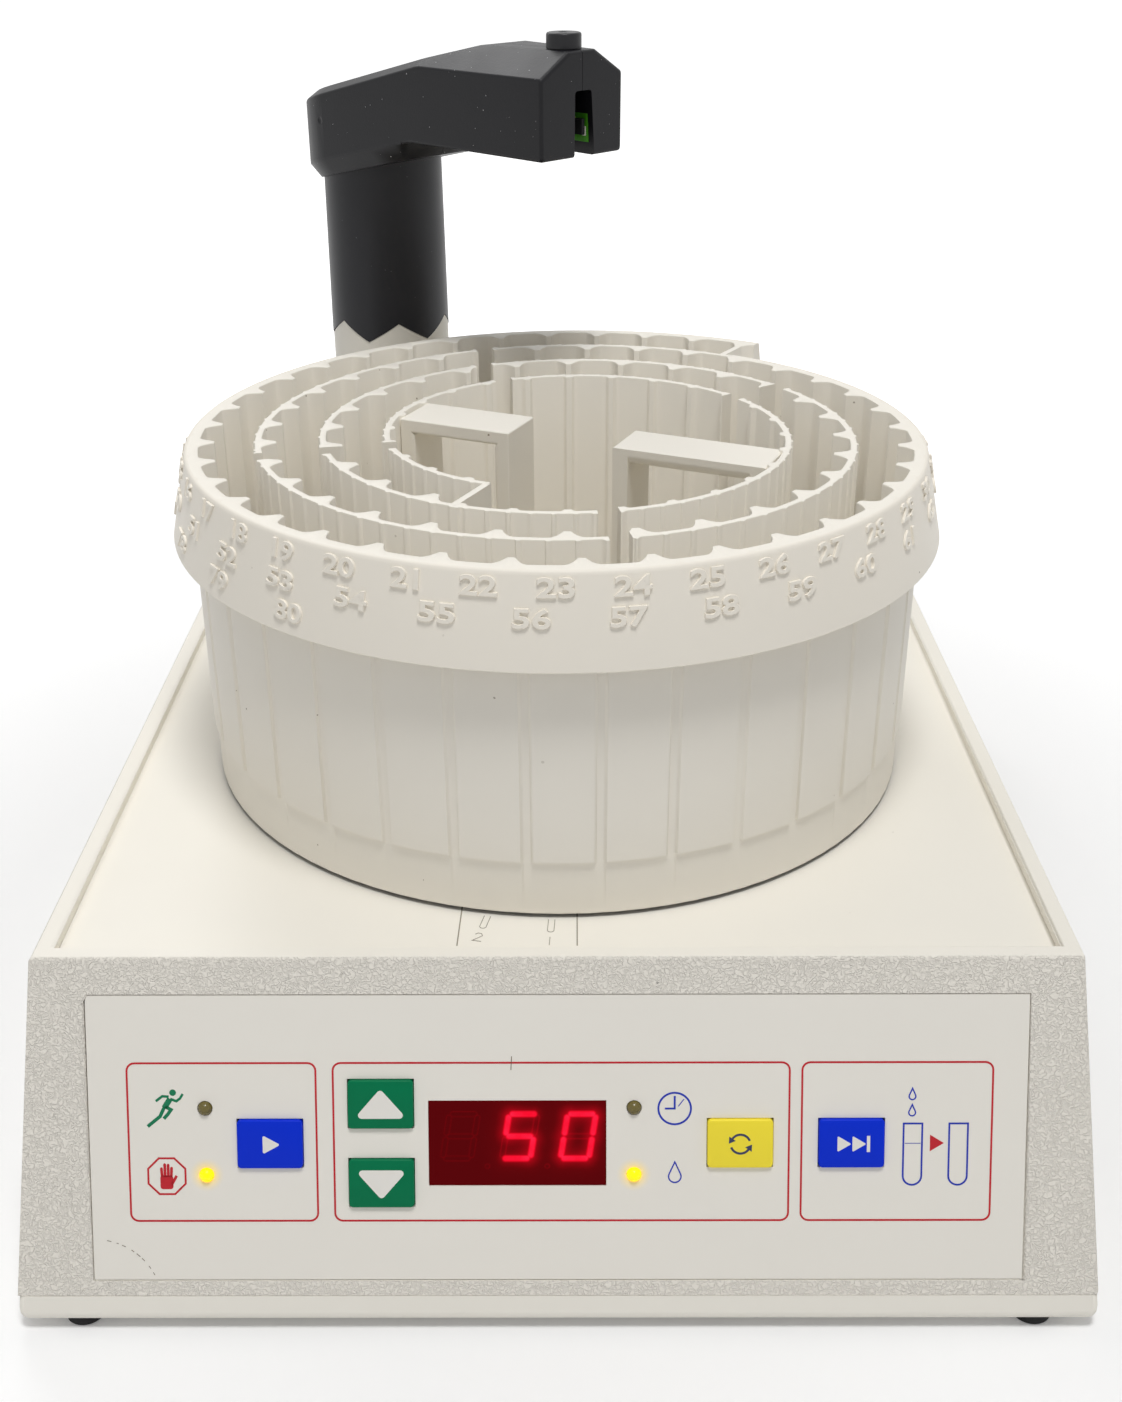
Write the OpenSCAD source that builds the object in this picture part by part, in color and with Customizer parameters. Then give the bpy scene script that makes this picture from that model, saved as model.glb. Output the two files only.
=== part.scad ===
// Benchtop fraction collector: spiral tube rack on a driven turntable, swinging arm with a drop head.
// X runs to the right, Y to the back, Z up. The origin is the middle of the footprint, on the bench.

/* [Base] */
// Width of the base across its top rim
base_w_top = 224.5; // [215:0.5:235]
// Width of the base at its foot
base_w_bottom = 236; // [234:0.5:245]
// Depth of the base at its foot
base_d = 320; // [310:1:360]
// Height of the top rim above the bench
rim_z = 79; // [77:0.5:90]
// Backward lean of the front face, degrees
lean = 20.7; // [16:0.1:22]
// Wall of the casing
casing_wall = 3; // [2.5:0.1:3.5]
// Width of the raised rim around the deck
rim_w = 4.1; // [3.5:0.1:6]
// Depth of the deck below the rim
tray_depth = 3.2; // [2:0.1:4]
// Height of the smooth band that the pan shows at the foot
band_h = 5.4; // [4:0.1:8]
// Floor thickness of the pan
pan_floor = 2.5; // [2:0.1:3]

/* [Feet and screws] */
// Height of a foot
foot_h = 3; // [2:0.1:5]
// Diameter of a foot
foot_d = 9; // [8:0.5:12]
// Distance between the feet, side to side
foot_span = 209; // [190:0.5:212]
// Diameter of the casing screws
case_screw_d = 3; // [2.5:0.1:4]
// Diameter of the bosses that take the casing screws
boss_d = 8; // [7:0.5:10]

/* [Control panel] */
// Width of the control panel
panel_w = 201.6; // [198:0.1:204]
// Height of the control panel along the slope
panel_h = 63.6; // [62:0.1:66]
// Thickness of the control panel
panel_t = 1.5; // [1.2:0.1:2]
// Distance from the rim down to the panel
panel_drop = 8.2; // [6:0.1:9]
// Width of a key
key_w = 14.1; // [12:0.1:14.5]
// Height of a key
key_h = 10.7; // [9:0.1:11]
// Height of a key above the panel
key_proud = 0.9; // [0.7:0.1:1.5]
// Travel of a key
key_travel = 0.6; // [0.4:0.05:0.7]
// Clearance around a key in its window
key_gap = 0.15; // [0.1:0.01:0.25]
// Width of the display window
display_w = 38.3; // [36:0.1:40]
// Height of the display window
display_h = 19; // [17:0.1:20]
// Diameter of an indicator lamp
lamp_d = 3.1; // [2.5:0.1:3.5]

/* [Electronics] */
// Depth of the control board behind the face
board_depth = 12; // [11:0.5:14]
// Thickness of the control board
board_t = 1.6; // [1:0.1:2]
// Width of the control board
board_w = 182; // [170:1:186]
// Height of the control board
board_h = 46; // [44:1:47]
// Width of the mains transformer core
transformer_w = 52; // [40:1:60]

/* [Drive] */
// Diameter of the turntable disc
disc_d = 64; // [56:1:70]
// Diameter of the turntable spindle
spindle_d = 10; // [8:0.5:12]
// Teeth of the turntable gear
gear_teeth = 84; // [76:2:90]
// Teeth of the motor pinion
pinion_teeth = 14; // [12:1:16]
// Gear module
gear_module = 1; // [0.9:0.05:1.05]
// Face width of the turntable gear
gear_face = 6; // [5:0.5:7]
// Diameter of the drive motor
motor_d = 40; // [34:1:42]
// Length of the drive motor
motor_len = 28; // [22:1:30]
// Running clearance of a shaft in its bush
run_gap = 0.05; // [0.03:0.01:0.08]

/* [Rack] */
// Radius of the spiral wall at its outer end
rack_r = 99.1; // [98:0.1:101]
// Distance between the turns of the spiral
rack_pitch = 15.75; // [15:0.05:16]
// Height of the rack
rack_h = 83; // [75:0.5:90]
// Thickness of the spiral wall between the tubes
rack_wall = 1.6; // [1.4:0.1:2]
// Depth of the cusps between the tubes
cusp_h = 1.9; // [1.2:0.1:2.2]
// Number of tubes that the rack holds
tube_count = 80; // [78:1:80]
// Spacing of the tubes along the channel
tube_pitch = 13.85; // [13.6:0.05:13.9]
// Thickness of the rack floor
floor_t = 4; // [3.6:0.1:5]
// Height of the numbered collar
collar_h = 20; // [15:0.5:25]
// Flare of the collar at its lower edge
collar_flare = 5.6; // [4:0.1:6]
// Thickness of the collar
collar_t = 1.6; // [1.2:0.1:2]
// Width of the slots through the inner walls
slot_w = 5; // [4:0.5:9]
// How far the rack is right of the middle
rack_x = 3.3; // [0:0.1:4]
// Distance of the rack axis behind the top front edge
rack_back = 108.8; // [107:0.1:112]
// Gap between the rack and the deck
rack_gap = 1.2; // [0.8:0.1:2]
// Height of a handle below the rack's top edge
handle_drop = 0.6; // [0.2:0.1:6]
// Thickness of the handles' bars and posts
handle_t = 4; // [4:0.1:6]

/* [Arm] */
// Distance of the arm post left of the middle
post_x = 52.7; // [50:0.1:55]
// Distance of the arm post behind the top front edge
post_back = 228; // [226:0.5:232]
// Diameter of the fixed lower post
post_d = 35.8; // [34:0.1:36]
// Diameter of the black column
column_d = 35.2; // [33:0.1:35.5]
// Wall of the post
post_wall = 3.4; // [3:0.1:4]
// Height of the valleys of the clutch teeth above the rim
clutch_z = 75.6; // [72:0.2:80]
// Height of the clutch teeth
clutch_h = 6.4; // [5:0.1:7]
// Number of clutch teeth
clutch_teeth = 6; // [6:1:6]
// Height of the arm's underside at the column, above the rim
arm_z = 124.5; // [120:0.5:130]
// Angle of the arm from the forward direction, degrees
arm_swing = 45; // [30:1:60]
// Length of the arm from the column axis
arm_len = 87.5; // [86:0.5:100]
// Width of the drop head
head_w = 30; // [28:0.5:32]
// Distance of the tubing bush from the column axis
bush_reach = 80.7; // [76:0.1:81]
// Diameter of the tubing bush's cap
bush_d = 9.2; // [8:0.1:10]
// Height of the tubing bush's cap
bush_cap_h = 3.8; // [3:0.1:6]
// Width of the slot in the drop head
head_slot = 6.2; // [6:0.1:7]

/* [Rear] */
// Height of the middle of the rear sockets above the bench
rear_z = 34; // [30:1:40]

/* [Hidden] */
$fn = 64;
eps = 0.01;
over = 1;
front_y = -base_d / 2;
back_y = base_d / 2;
top_y = front_y + (rim_z - foot_h) * tan(lean);
pan_top = foot_h + band_h;
floor_z = foot_h + pan_floor;
tray_z = rim_z - tray_depth;
deck_t = 3;
deck_z = tray_z - deck_t;
lip_t = 1.5;
lip_h = 4;
lip_gap = 0.2;
hole_play = 0.2;
boss_inset = 12;
head_h = 2;
key_drop = 1;
panel_mid = panel_drop + panel_h / 2;
panel_sink = 0.2;
panel_fit = 0.15;
window_w = panel_w - 10;
window_h = panel_h - 12;
key_flange = 1;
stem_d = 4;
switch_h = 3.4;
switch_w = 6;
standoff_d = 6;
standoff_x = board_w / 2 - 5;
standoff_y = board_h / 2 - 4;
display_x = -8.6;
display_y = panel_mid - 41.1;
display_fit = 0.1;
keys_y = panel_mid - 41;
arrows_y = 8.8;
run_x = -61.8;
arrow_x = -37.9;
mode_x = 39.3;
advance_x = 63.2;
lamp_rows = [panel_mid - 33.2, panel_mid - 48.1];
lamp_left = -75.7;
lamp_right = 16.5;
rack_y = top_y + rack_back;
rack_z = tray_z + rack_gap;
rack_top = rack_z + rack_h;
rack_floor_z = rack_z + floor_t;
disc_gap = 0.5;
disc_z = tray_z + disc_gap;
disc_t = 3;
disc_fit = 0.3;
spigot_w = 14;
spigot_h = 9;
spigot_fit = 0.1;
spigot_boss_r = spigot_w / 2 + 5.5;
spigot_boss_h = 6;
bush_wall = 2.5;
bush_flange_t = 1.6;
bush_flange_r = 11;
spindle_house_r = spindle_d / 2 + bush_wall + 3;
house_flange_r = 20;
house_flange_t = 3;
spindle_house_z = 52;
gear_gap = 0.1;
gear_hub_h = 2;
gear_top = spindle_house_z - gear_gap - gear_hub_h;
clip_t = 1;
clip_r = spindle_d / 2 + 3.5;
spindle_end = gear_top - gear_face - clip_t - 1.5;
mesh_play = 0.08;
gear_r = gear_teeth * gear_module / 2;
pinion_r = pinion_teeth * gear_module / 2;
motor_x = rack_x + gear_r + pinion_r + mesh_play;
motor_top = floor_z + 3 + motor_len;
bracket_t = 2;
motor_shaft_d = 5;
pinion_z = gear_top - gear_face - 0.5;
pinion_face = gear_face + 1;
start_a = 56.2;
groove_r = rack_r - rack_pitch / 2 - rack_wall / 2;
spiral_b = rack_pitch / (2 * PI);
end_a = tube_angle(tube_count + 0.75);
tube_lead = 0.25;
collar_top = rack_top - 0.8;
slot_angles = [34, 110, 194.4, 278.1];
hand_angle = -24;
hand_bar_w = 15;
hand_inner_right = 14;
hand_inner_left = 14;
hand_offset = 1;
hand_foot_z = rack_floor_z + 16;
px = -post_x;
py = top_y + post_back;
post_r = post_d / 2;
post_bore = post_r - post_wall;
core_r = post_bore - run_gap;
core_wall = 2.4;
post_end = 24;
post_house_z = 30;
bearing_wall = 2.2;
bearing_h = 8;
bearing_flange_t = 1.5;
post_house_wall = 2.5;
valley_z = rim_z + clutch_z;
clutch_gap = 0.1;
clutch_turn = 13.6;
arm_base = rim_z + arm_z;
arm_rise = 13.5;
hub_r = 21.5;
hub_h = 24;
kink = 41;
beam_h = 20;
gable_h = 6.2;
gable_w = 10;
hub_chamfer = 3;
head_mid = -3.5;
arm_wall = 2.5;
seam = 0.02;
beam_z = arm_base + arm_rise;
beam_top = beam_z + beam_h + gable_h;
slot_h = 16;
slot_t = 72;
bush_shank = 6;
bush_bore = 2.2;
arm_screw_t = [30, 62];
core_top = arm_base + 8;
inlet_x = 74;
inlet_w = 48;
inlet_h = 28;
inlet_core_w = 40;
inlet_core_h = 21;
rocker_x = 30;
rocker_w = 13;
rocker_h = 19;
rocker_depth = 6.6;
rocker_tilt = 8;
rocker_pin_r = 1.5;
socket_x = -8;
socket_w = 26;
socket_h = 16;
rear_plate = 1.8;
rear_fit = 0.1;

// Half width of the base at a height
function half_w(z) = (base_w_bottom + (base_w_top - base_w_bottom) * (z - foot_h) / (rim_z - foot_h)) / 2;
// Y of the front face at a height
function face_y(z) = front_y + (z - foot_h) * tan(lean);
// Radius of the spiral wall's outer face at an angle counted on from its outer end
function wall_r(a) = rack_r - rack_pitch * (a - start_a) / 360;
// Angle of a place along the channel, counted in tubes from its outer end
function tube_angle(n) = start_a + 180 / PI
  * (groove_r - sqrt(groove_r * groove_r - 2 * spiral_b * n * tube_pitch)) / spiral_b;
// A point on the plane at a radius and an angle
function polar(r, a) = [r * cos(a), r * sin(a)];
// Angle on the innermost turn of the spiral that points the same way as a
function inner_turn(a) = a + 360 * ceil((end_a - a) / 360);
// Distance from the rack's axis at which a handle's line meets the innermost wall, less a little play
function hand_reach(a) = sqrt(pow(wall_r(a) - rack_wall, 2) - pow(hand_offset + hand_bar_w / 2, 2)) - 0.3;
// Involute of a base circle at a roll angle
function involute(rb, t) = [rb * (cos(t) + t * PI / 180 * sin(t)), rb * (sin(t) - t * PI / 180 * cos(t))];
// Turn a point about the origin
function turned(p, a) = [p[0] * cos(a) - p[1] * sin(a), p[0] * sin(a) + p[1] * cos(a)];
// Roll angle at which an involute reaches a radius
function roll(rb, r) = r <= rb ? 0 : 180 / PI * sqrt(r * r / (rb * rb) - 1);

// Outline of a spur gear with a little backlash
function gear_outline(n, m) = let(
  r = n * m / 2,
  rb = r * cos(20),
  ro = r + 0.95 * m,
  rr = r - 1.2 * m,
  half = 90 / n * 0.955 + (tan(20) - 20 * PI / 180) * 180 / PI,
  steps = 2)
  [for (i = [0 : n - 1]) each concat(
    [polar(rr, i * 360 / n - half)],
    [for (k = [0 : steps]) let(rk = max(rb, rr) + (ro - max(rb, rr)) * k / steps)
      turned(involute(rb, roll(rb, rk)), i * 360 / n - half)],
    [for (k = [steps : -1 : 0]) let(rk = max(rb, rr) + (ro - max(rb, rr)) * k / steps, q = involute(rb, roll(rb, rk)))
      turned([q[0], -q[1]], i * 360 / n + half)],
    [polar(rr, i * 360 / n + half)])];

// Sloping block with the base's outline between two heights, drawn in by an inset
module base_block(z0, z1, inset) {
  intersection() {
    rotate([90, 0, 90])
      translate([0, 0, -base_w_bottom / 2])
        linear_extrude(base_w_bottom)
          polygon([[face_y(z0) + inset, z0], [back_y - inset, z0], [back_y - inset, z1], [face_y(z1) + inset, z1]]);
    rotate([90, 0, 0])
      translate([0, 0, -base_d / 2])
        linear_extrude(base_d)
          polygon([[inset - half_w(z0), z0], [half_w(z0) - inset, z0], [half_w(z1) - inset, z1],
            [inset - half_w(z1), z1]]);
  }
}

// Moves its children to the front face: X right, Y up the slope from the panel's middle, Z out of the face
module on_face() {
  translate([0, top_y, rim_z])
    rotate([90 - lean, 0, 0])
      translate([0, -panel_mid, 0])
        children();
}

// Block centred in X and Y between two heights
module slab(w, d, z0, z1) {
  translate([-w / 2, -d / 2, z0])
    cube([w, d, z1 - z0]);
}

// Tube between two heights
module tube(r_out, r_in, z0, z1) {
  translate([0, 0, z0])
    difference() {
      cylinder(r = r_out, h = z1 - z0);
      translate([0, 0, -over])
        cylinder(r = r_in, h = z1 - z0 + 2 * over);
    }
}

// Rod between two heights
module rod(r, z0, z1) {
  translate([0, 0, z0])
    cylinder(r = r, h = z1 - z0);
}

// Screw with a round slotless head below z and its shank above
module screw_up(d, z, len) {
  rod(d, z - head_h, z);
  rod(d / 2, z - eps, z + len);
}

module case_screw_places() {
  for (sx = [-1, 1])
    for (y = [top_y + boss_inset, back_y - boss_inset])
      translate([sx * (half_w(rim_z) - boss_inset), y, 0])
        children();
}

module foot_places() {
  for (sx = [-1, 1])
    for (y = [front_y + foot_d / 2 + 1.5, back_y - foot_d / 2 - 4])
      translate([sx * foot_span / 2, y, 0])
        children();
}

module key_places() {
  translate([run_x, keys_y, 0]) children();
  translate([arrow_x, keys_y + arrows_y, 0]) children();
  translate([arrow_x, keys_y - arrows_y, 0]) children();
  translate([mode_x, keys_y, 0]) children();
  translate([advance_x, keys_y, 0]) children();
}

module lamp_places(row) {
  for (x = [lamp_left, lamp_right])
    translate([x, lamp_rows[row], 0])
      children();
}

module standoff_places() {
  for (sx = [-1, 1])
    for (sy = [-1, 1])
      translate([sx * standoff_x, sy * standoff_y, 0])
        children();
}

module spindle_screw_places() {
  for (a = [30, 150, 270])
    translate([rack_x, rack_y, 0])
      rotate([0, 0, a])
        translate([house_flange_r - 4, 0, 0])
          children();
}

post_flange_r = post_r + bearing_wall + post_house_wall + 8;

module post_screw_places() {
  for (a = [0, 120, 240])
    translate([px, py, 0])
      rotate([0, 0, a])
        translate([post_flange_r - 4, 0, 0])
          children();
}

module rear_window(x, w, h, plate_w, plate_h) {
  translate([x, back_y, rear_z])
    rotate([90, 0, 0]) {
      slab(w, h, -over, casing_wall + over);
      slab(plate_w, plate_h, -over, rear_plate);
    }
}

module upper_casing() {
  color("#DED8CF")
    difference() {
      union() {
        difference() {
          base_block(pan_top, rim_z, 0);
          base_block(pan_top - over, deck_z, casing_wall);
        }
        case_screw_places()
          rod(boss_d / 2, floor_z, deck_z + over);
      }
      translate([0, (top_y + back_y) / 2, 0])
        slab(2 * (half_w(rim_z) - rim_w), back_y - top_y - 2 * rim_w, tray_z, rim_z + over);
      on_face() {
        slab(panel_w + 2 * panel_fit, panel_h + 2 * panel_fit, -panel_t - panel_sink, over);
        slab(window_w, window_h, -2 * casing_wall, over);
      }
      case_screw_places()
        rod(case_screw_d / 2, floor_z - over, floor_z + 12);
      translate([rack_x, rack_y, 0]) {
        rod(spindle_d / 2 + run_gap + bush_wall, deck_z - over, tray_z + over);
        rod(bush_flange_r, tray_z + disc_gap - gear_gap - bush_flange_t, tray_z + over);
      }
      translate([px, py, 0])
        rod(post_r + run_gap + bearing_wall, deck_z - over, tray_z + over);
      spindle_screw_places()
        rod(case_screw_d / 2, deck_z - over, deck_z + deck_t / 2);
      post_screw_places()
        rod(case_screw_d / 2, deck_z - over, deck_z + deck_t / 2);
      rear_window(inlet_x, inlet_core_w, inlet_core_h, inlet_w + 2 * rear_fit, inlet_h + 2 * rear_fit);
      rear_window(rocker_x, rocker_w + 2, rocker_h + 2, rocker_w + 8 + 2 * rear_fit, rocker_h + 8 + 2 * rear_fit);
      rear_window(socket_x, socket_w - 6, socket_h - 6, socket_w + 2 * rear_fit, socket_h + 2 * rear_fit);
    }
}

module base_pan() {
  color("#E4DED4")
    difference() {
      union() {
        difference() {
          base_block(foot_h, pan_top, 0);
          base_block(floor_z, pan_top + over, casing_wall + lip_gap);
        }
        difference() {
          base_block(floor_z, pan_top + lip_h, casing_wall + lip_gap);
          base_block(floor_z - over, pan_top + lip_h + over, casing_wall + lip_gap + lip_t);
        }
      }
      case_screw_places()
        rod(case_screw_d / 2, foot_h - over, floor_z + over);
      case_screw_places()
        rod(case_screw_d + hole_play, foot_h - over, foot_h + head_h - 0.6);
      foot_places()
        rod(case_screw_d / 2, foot_h - over, floor_z + over);
      translate([0, back_y - 60, 0])
        for (i = [-3 : 3])
          translate([i * 9, 0, 0])
            slab(3, 40, foot_h - over, floor_z + over);
    }
}

module feet() {
  color("#1C1C1E")
    foot_places()
      difference() {
        rod(foot_d / 2, 0, foot_h);
        rod(case_screw_d, -over, head_h - 0.6);
        rod(case_screw_d / 2, 0, foot_h + over);
      }
}

module foot_screws() {
  color("#B9BCC0")
    foot_places()
      translate([0, 0, head_h - 0.6]) {
        rod(case_screw_d - hole_play, -1.2, 0);
        rod(case_screw_d / 2, -eps, floor_z - head_h + 1.6);
      }
}

module casing_screws() {
  color("#B9BCC0")
    case_screw_places()
      translate([0, 0, foot_h + head_h - 0.6]) {
        rod(case_screw_d, -1.2, 0);
        rod(case_screw_d / 2, -eps, 12);
      }
}

module front_panel() {
  color("#E8E4DA")
    on_face()
      translate([0, 0, -panel_sink])
        difference() {
          slab(panel_w, panel_h, -panel_t, 0);
          translate([display_x, display_y, 0])
            slab(display_w, display_h, -panel_t - over, over);
          key_places()
            slab(key_w + 2 * key_gap, key_h + 2 * key_gap, -panel_t - over, over);
          lamp_places(0)
            rod(lamp_d / 2 + display_fit, -panel_t - over, over);
          lamp_places(1)
            rod(lamp_d / 2 + display_fit, -panel_t - over, over);
        }
}

module display_lens() {
  color("#5A0008")
    on_face()
      translate([display_x, display_y, 0])
        slab(display_w - 2 * display_fit, display_h - 2 * display_fit, -panel_t - panel_sink, -panel_sink - 0.2);
}

module display_module() {
  color("#2A0A0C")
    on_face()
      translate([display_x, display_y, 0])
        slab(display_w - 2, display_h - 2, -board_depth, -panel_t - panel_sink);
}

module lamp() {
  rod(lamp_d / 2, -board_depth, -0.5);
  translate([0, 0, -0.5])
    sphere(d = lamp_d);
}

module lit_lamps() {
  color("#FFE600")
    on_face()
      lamp_places(1)
        lamp();
}

module unlit_lamps() {
  color("#6E6428")
    on_face()
      lamp_places(0)
        lamp();
}

module control_board() {
  color("#1F6B3A")
    on_face()
      difference() {
        slab(board_w, board_h, -board_depth - board_t, -board_depth);
        standoff_places()
          rod(case_screw_d / 2, -board_depth - board_t - over, over - board_depth);
      }
}

module board_standoffs() {
  color("#C8C8CC")
    on_face()
      standoff_places()
        difference() {
          rod(standoff_d / 2, -board_depth, -panel_t - panel_sink);
          rod(case_screw_d / 2, -board_depth - over, -board_depth + 5);
        }
}

module board_screws() {
  color("#B9BCC0")
    on_face()
      standoff_places()
        screw_up(case_screw_d, -board_depth - board_t, board_t + 4);
}

module tactile_switches() {
  color("#2B2B2E")
    on_face()
      key_places()
        slab(switch_w, switch_w, -board_depth, switch_h - board_depth);
}

module controller_chips() {
  color("#1E1E20")
    on_face()
      for (x = [-60, -20, 25])
        translate([x, 0, 0])
          slab(24, 12, -board_depth - board_t - 3, -board_depth - board_t);
}

module at_motor() {
  translate([motor_x, rack_y, 0])
    children();
}

module drive_motor() {
  color("#8E9196")
    at_motor()
      difference() {
        rod(motor_d / 2, motor_top - motor_len, motor_top);
        rod(motor_shaft_d / 2 + run_gap, motor_top - 10, motor_top + over);
        for (s = [-1, 1])
          translate([0, s * motor_d * 0.35, 0])
            rod(case_screw_d / 2, motor_top - 6, motor_top + over);
      }
}

module motor_bracket() {
  color("#B4B7BB")
    at_motor()
      difference() {
        union() {
          slab(motor_d + 4, motor_d + 14, motor_top, motor_top + bracket_t);
          for (s = [-1, 1])
            translate([0, s * (motor_d / 2 + 6), 0]) {
              slab(motor_d - 10, bracket_t, floor_z, motor_top + eps);
              translate([0, s * 5, 0])
                slab(motor_d - 10, 10 + bracket_t, floor_z, floor_z + bracket_t);
            }
        }
        rod(motor_shaft_d, motor_top - over, motor_top + bracket_t + over);
        for (s = [-1, 1])
          translate([0, s * motor_d * 0.35, 0])
            rod(case_screw_d / 2, motor_top - over, motor_top + bracket_t + over);
      }
}

module motor_screws() {
  color("#B9BCC0")
    at_motor()
      for (s = [-1, 1])
        translate([0, s * motor_d * 0.35, motor_top + bracket_t])
          mirror([0, 0, 1])
            screw_up(case_screw_d, 0, bracket_t + 5);
}

module at_transformer() {
  translate([inlet_x - 14, back_y - 62, 0])
    children();
}

module transformer() {
  color("#6D6F73")
    at_transformer()
      difference() {
        union() {
          slab(transformer_w, transformer_w * 0.73, floor_z + bracket_t - eps, floor_z + 44);
          slab(transformer_w * 0.65, transformer_w * 1.04, floor_z + 8, floor_z + 38);
          slab(transformer_w * 1.38, transformer_w * 0.58, floor_z, floor_z + bracket_t);
        }
        for (s = [-1, 1])
          translate([s * transformer_w * 0.6, 0, 0])
            rod(case_screw_d / 2, floor_z - over, floor_z + bracket_t + over);
      }
}

module transformer_screws() {
  color("#B9BCC0")
    at_transformer()
      for (s = [-1, 1])
        translate([s * transformer_w * 0.6, 0, floor_z + bracket_t])
          mirror([0, 0, 1])
            screw_up(case_screw_d, 0, bracket_t);
}

module at_rear(x) {
  translate([x, back_y, rear_z])
    rotate([90, 0, 0])
      children();
}

module power_inlet() {
  color("#1B1B1D")
    at_rear(inlet_x)
      difference() {
        union() {
          slab(inlet_w, inlet_h, 0, rear_plate);
          slab(inlet_core_w - 2 * rear_fit, inlet_core_h - 2 * rear_fit, 0, 24);
        }
        translate([7, 0, 0])
          slab(22, 16, -over, 16);
        translate([-12, 0, 0])
          slab(9, 16, -over, 20);
      }
}

module fuse_drawer() {
  color("#2A2A2D")
    at_rear(inlet_x)
      translate([-12, 0, 0]) {
        slab(8.8, 15.8, 0.4, 20);
      }
}

module switch_frame() {
  color("#1B1B1D")
    at_rear(rocker_x)
      difference() {
        union() {
          slab(rocker_w + 8, rocker_h + 8, 0, rear_plate);
          slab(rocker_w + 1.8, rocker_h + 1.8, 0, 18);
        }
        slab(rocker_w + 0.4, rocker_h, -over, 14);
        translate([0, 0, rocker_depth])
          rotate([0, 90, 0])
            translate([0, 0, -rocker_w / 2 - 0.9])
              cylinder(r = rocker_pin_r + run_gap, h = rocker_w + 1.8);
      }
}

module power_rocker() {
  color("#101012")
    at_rear(rocker_x)
      translate([0, 0, rocker_depth])
        rotate([0, 90, 0]) {
          rotate([0, 0, rocker_tilt])
            translate([0, 0, -rocker_w / 2])
              linear_extrude(rocker_w)
                polygon([[5.2, -7.6], [5.2, 0], [5.2, 7.6], [-2.2, 3], [-2.2, -3]]);
          translate([0, 0, -rocker_w / 2 - 0.8])
            cylinder(r = rocker_pin_r, h = rocker_w + 1.6);
        }
}

module remote_socket() {
  color("#2C2C30")
    at_rear(socket_x)
      difference() {
        union() {
          slab(socket_w, socket_h, 0, rear_plate);
          slab(socket_w - 6 - 2 * rear_fit, socket_h - 6 - 2 * rear_fit, 0, 12);
        }
        slab(socket_w - 10, socket_h - 10, -over, 8);
      }
}

module spindle_housing() {
  color("#A9ADB2")
    translate([rack_x, rack_y, 0])
      difference() {
        union() {
          rod(house_flange_r, deck_z - house_flange_t, deck_z);
          rod(spindle_house_r, spindle_house_z, deck_z);
        }
        rod(spindle_d / 2 + run_gap + bush_wall, spindle_house_z - over, deck_z + over);
        for (a = [30, 150, 270])
          rotate([0, 0, a])
            translate([house_flange_r - 4, 0, 0])
              rod(case_screw_d / 2, deck_z - house_flange_t - over, deck_z + over);
      }
}

module spindle_bush() {
  color("#D9C9A0")
    translate([rack_x, rack_y, 0])
      difference() {
        union() {
          rod(spindle_d / 2 + run_gap + bush_wall, spindle_house_z, disc_z - gear_gap);
          rod(bush_flange_r, disc_z - gear_gap - bush_flange_t, disc_z - gear_gap);
        }
        rod(spindle_d / 2 + run_gap, spindle_house_z - over, disc_z + over);
      }
}

module post_housing() {
  color("#A9ADB2")
    translate([px, py, 0])
      difference() {
        union() {
          rod(post_flange_r, deck_z - house_flange_t, deck_z);
          rod(post_r + bearing_wall + post_house_wall, post_house_z, deck_z);
        }
        rod(post_r + run_gap + bearing_wall, post_house_z - over, deck_z + over);
        for (a = [0, 120, 240])
          rotate([0, 0, a])
            translate([post_flange_r - 4, 0, 0])
              rod(case_screw_d / 2, deck_z - house_flange_t - over, deck_z + over);
      }
}

module post_bearings() {
  color("#D9C9A0")
    translate([px, py, 0]) {
      tube(post_r + run_gap + bearing_wall, post_r + run_gap, post_house_z, post_house_z + bearing_h);
      difference() {
        union() {
          rod(post_r + run_gap + bearing_wall, deck_z - bearing_h, tray_z + bearing_flange_t);
          rod(post_r + bearing_wall + 1.5, tray_z, tray_z + bearing_flange_t);
        }
        rod(post_r + run_gap, deck_z - bearing_h - over, tray_z + bearing_flange_t + over);
      }
    }
}

module housing_screws() {
  color("#B9BCC0") {
    spindle_screw_places()
      screw_up(case_screw_d, deck_z - house_flange_t, house_flange_t + deck_t / 2);
    post_screw_places()
      screw_up(case_screw_d, deck_z - house_flange_t, house_flange_t + deck_t / 2);
  }
}

module turntable() {
  color("#C9C4B8")
    translate([rack_x, rack_y, 0]) {
      rod(disc_d / 2, disc_z, disc_z + disc_t);
      rod(spindle_d / 2, spindle_end, disc_z + eps);
      slab(spigot_w, spigot_w, disc_z, disc_z + disc_t + spigot_h);
    }
}

module drive_gear() {
  color("#E9E4D2")
    translate([rack_x, rack_y, 0])
      difference() {
        union() {
          translate([0, 0, gear_top - gear_face])
            linear_extrude(gear_face)
              polygon(gear_outline(gear_teeth, gear_module));
          rod(spindle_d, gear_top - eps, gear_top + gear_hub_h);
        }
        rod(spindle_d / 2, gear_top - gear_face - over, gear_top + gear_hub_h + over);
      }
}

module spindle_clip() {
  color("#55585C")
    translate([rack_x, rack_y, 0])
      tube(clip_r, spindle_d / 2, gear_top - gear_face - clip_t, gear_top - gear_face);
}

module motor_shaft() {
  color("#B9BCC0")
    at_motor()
      rod(motor_shaft_d / 2, motor_top - 9.9, pinion_z + pinion_face);
}

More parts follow.
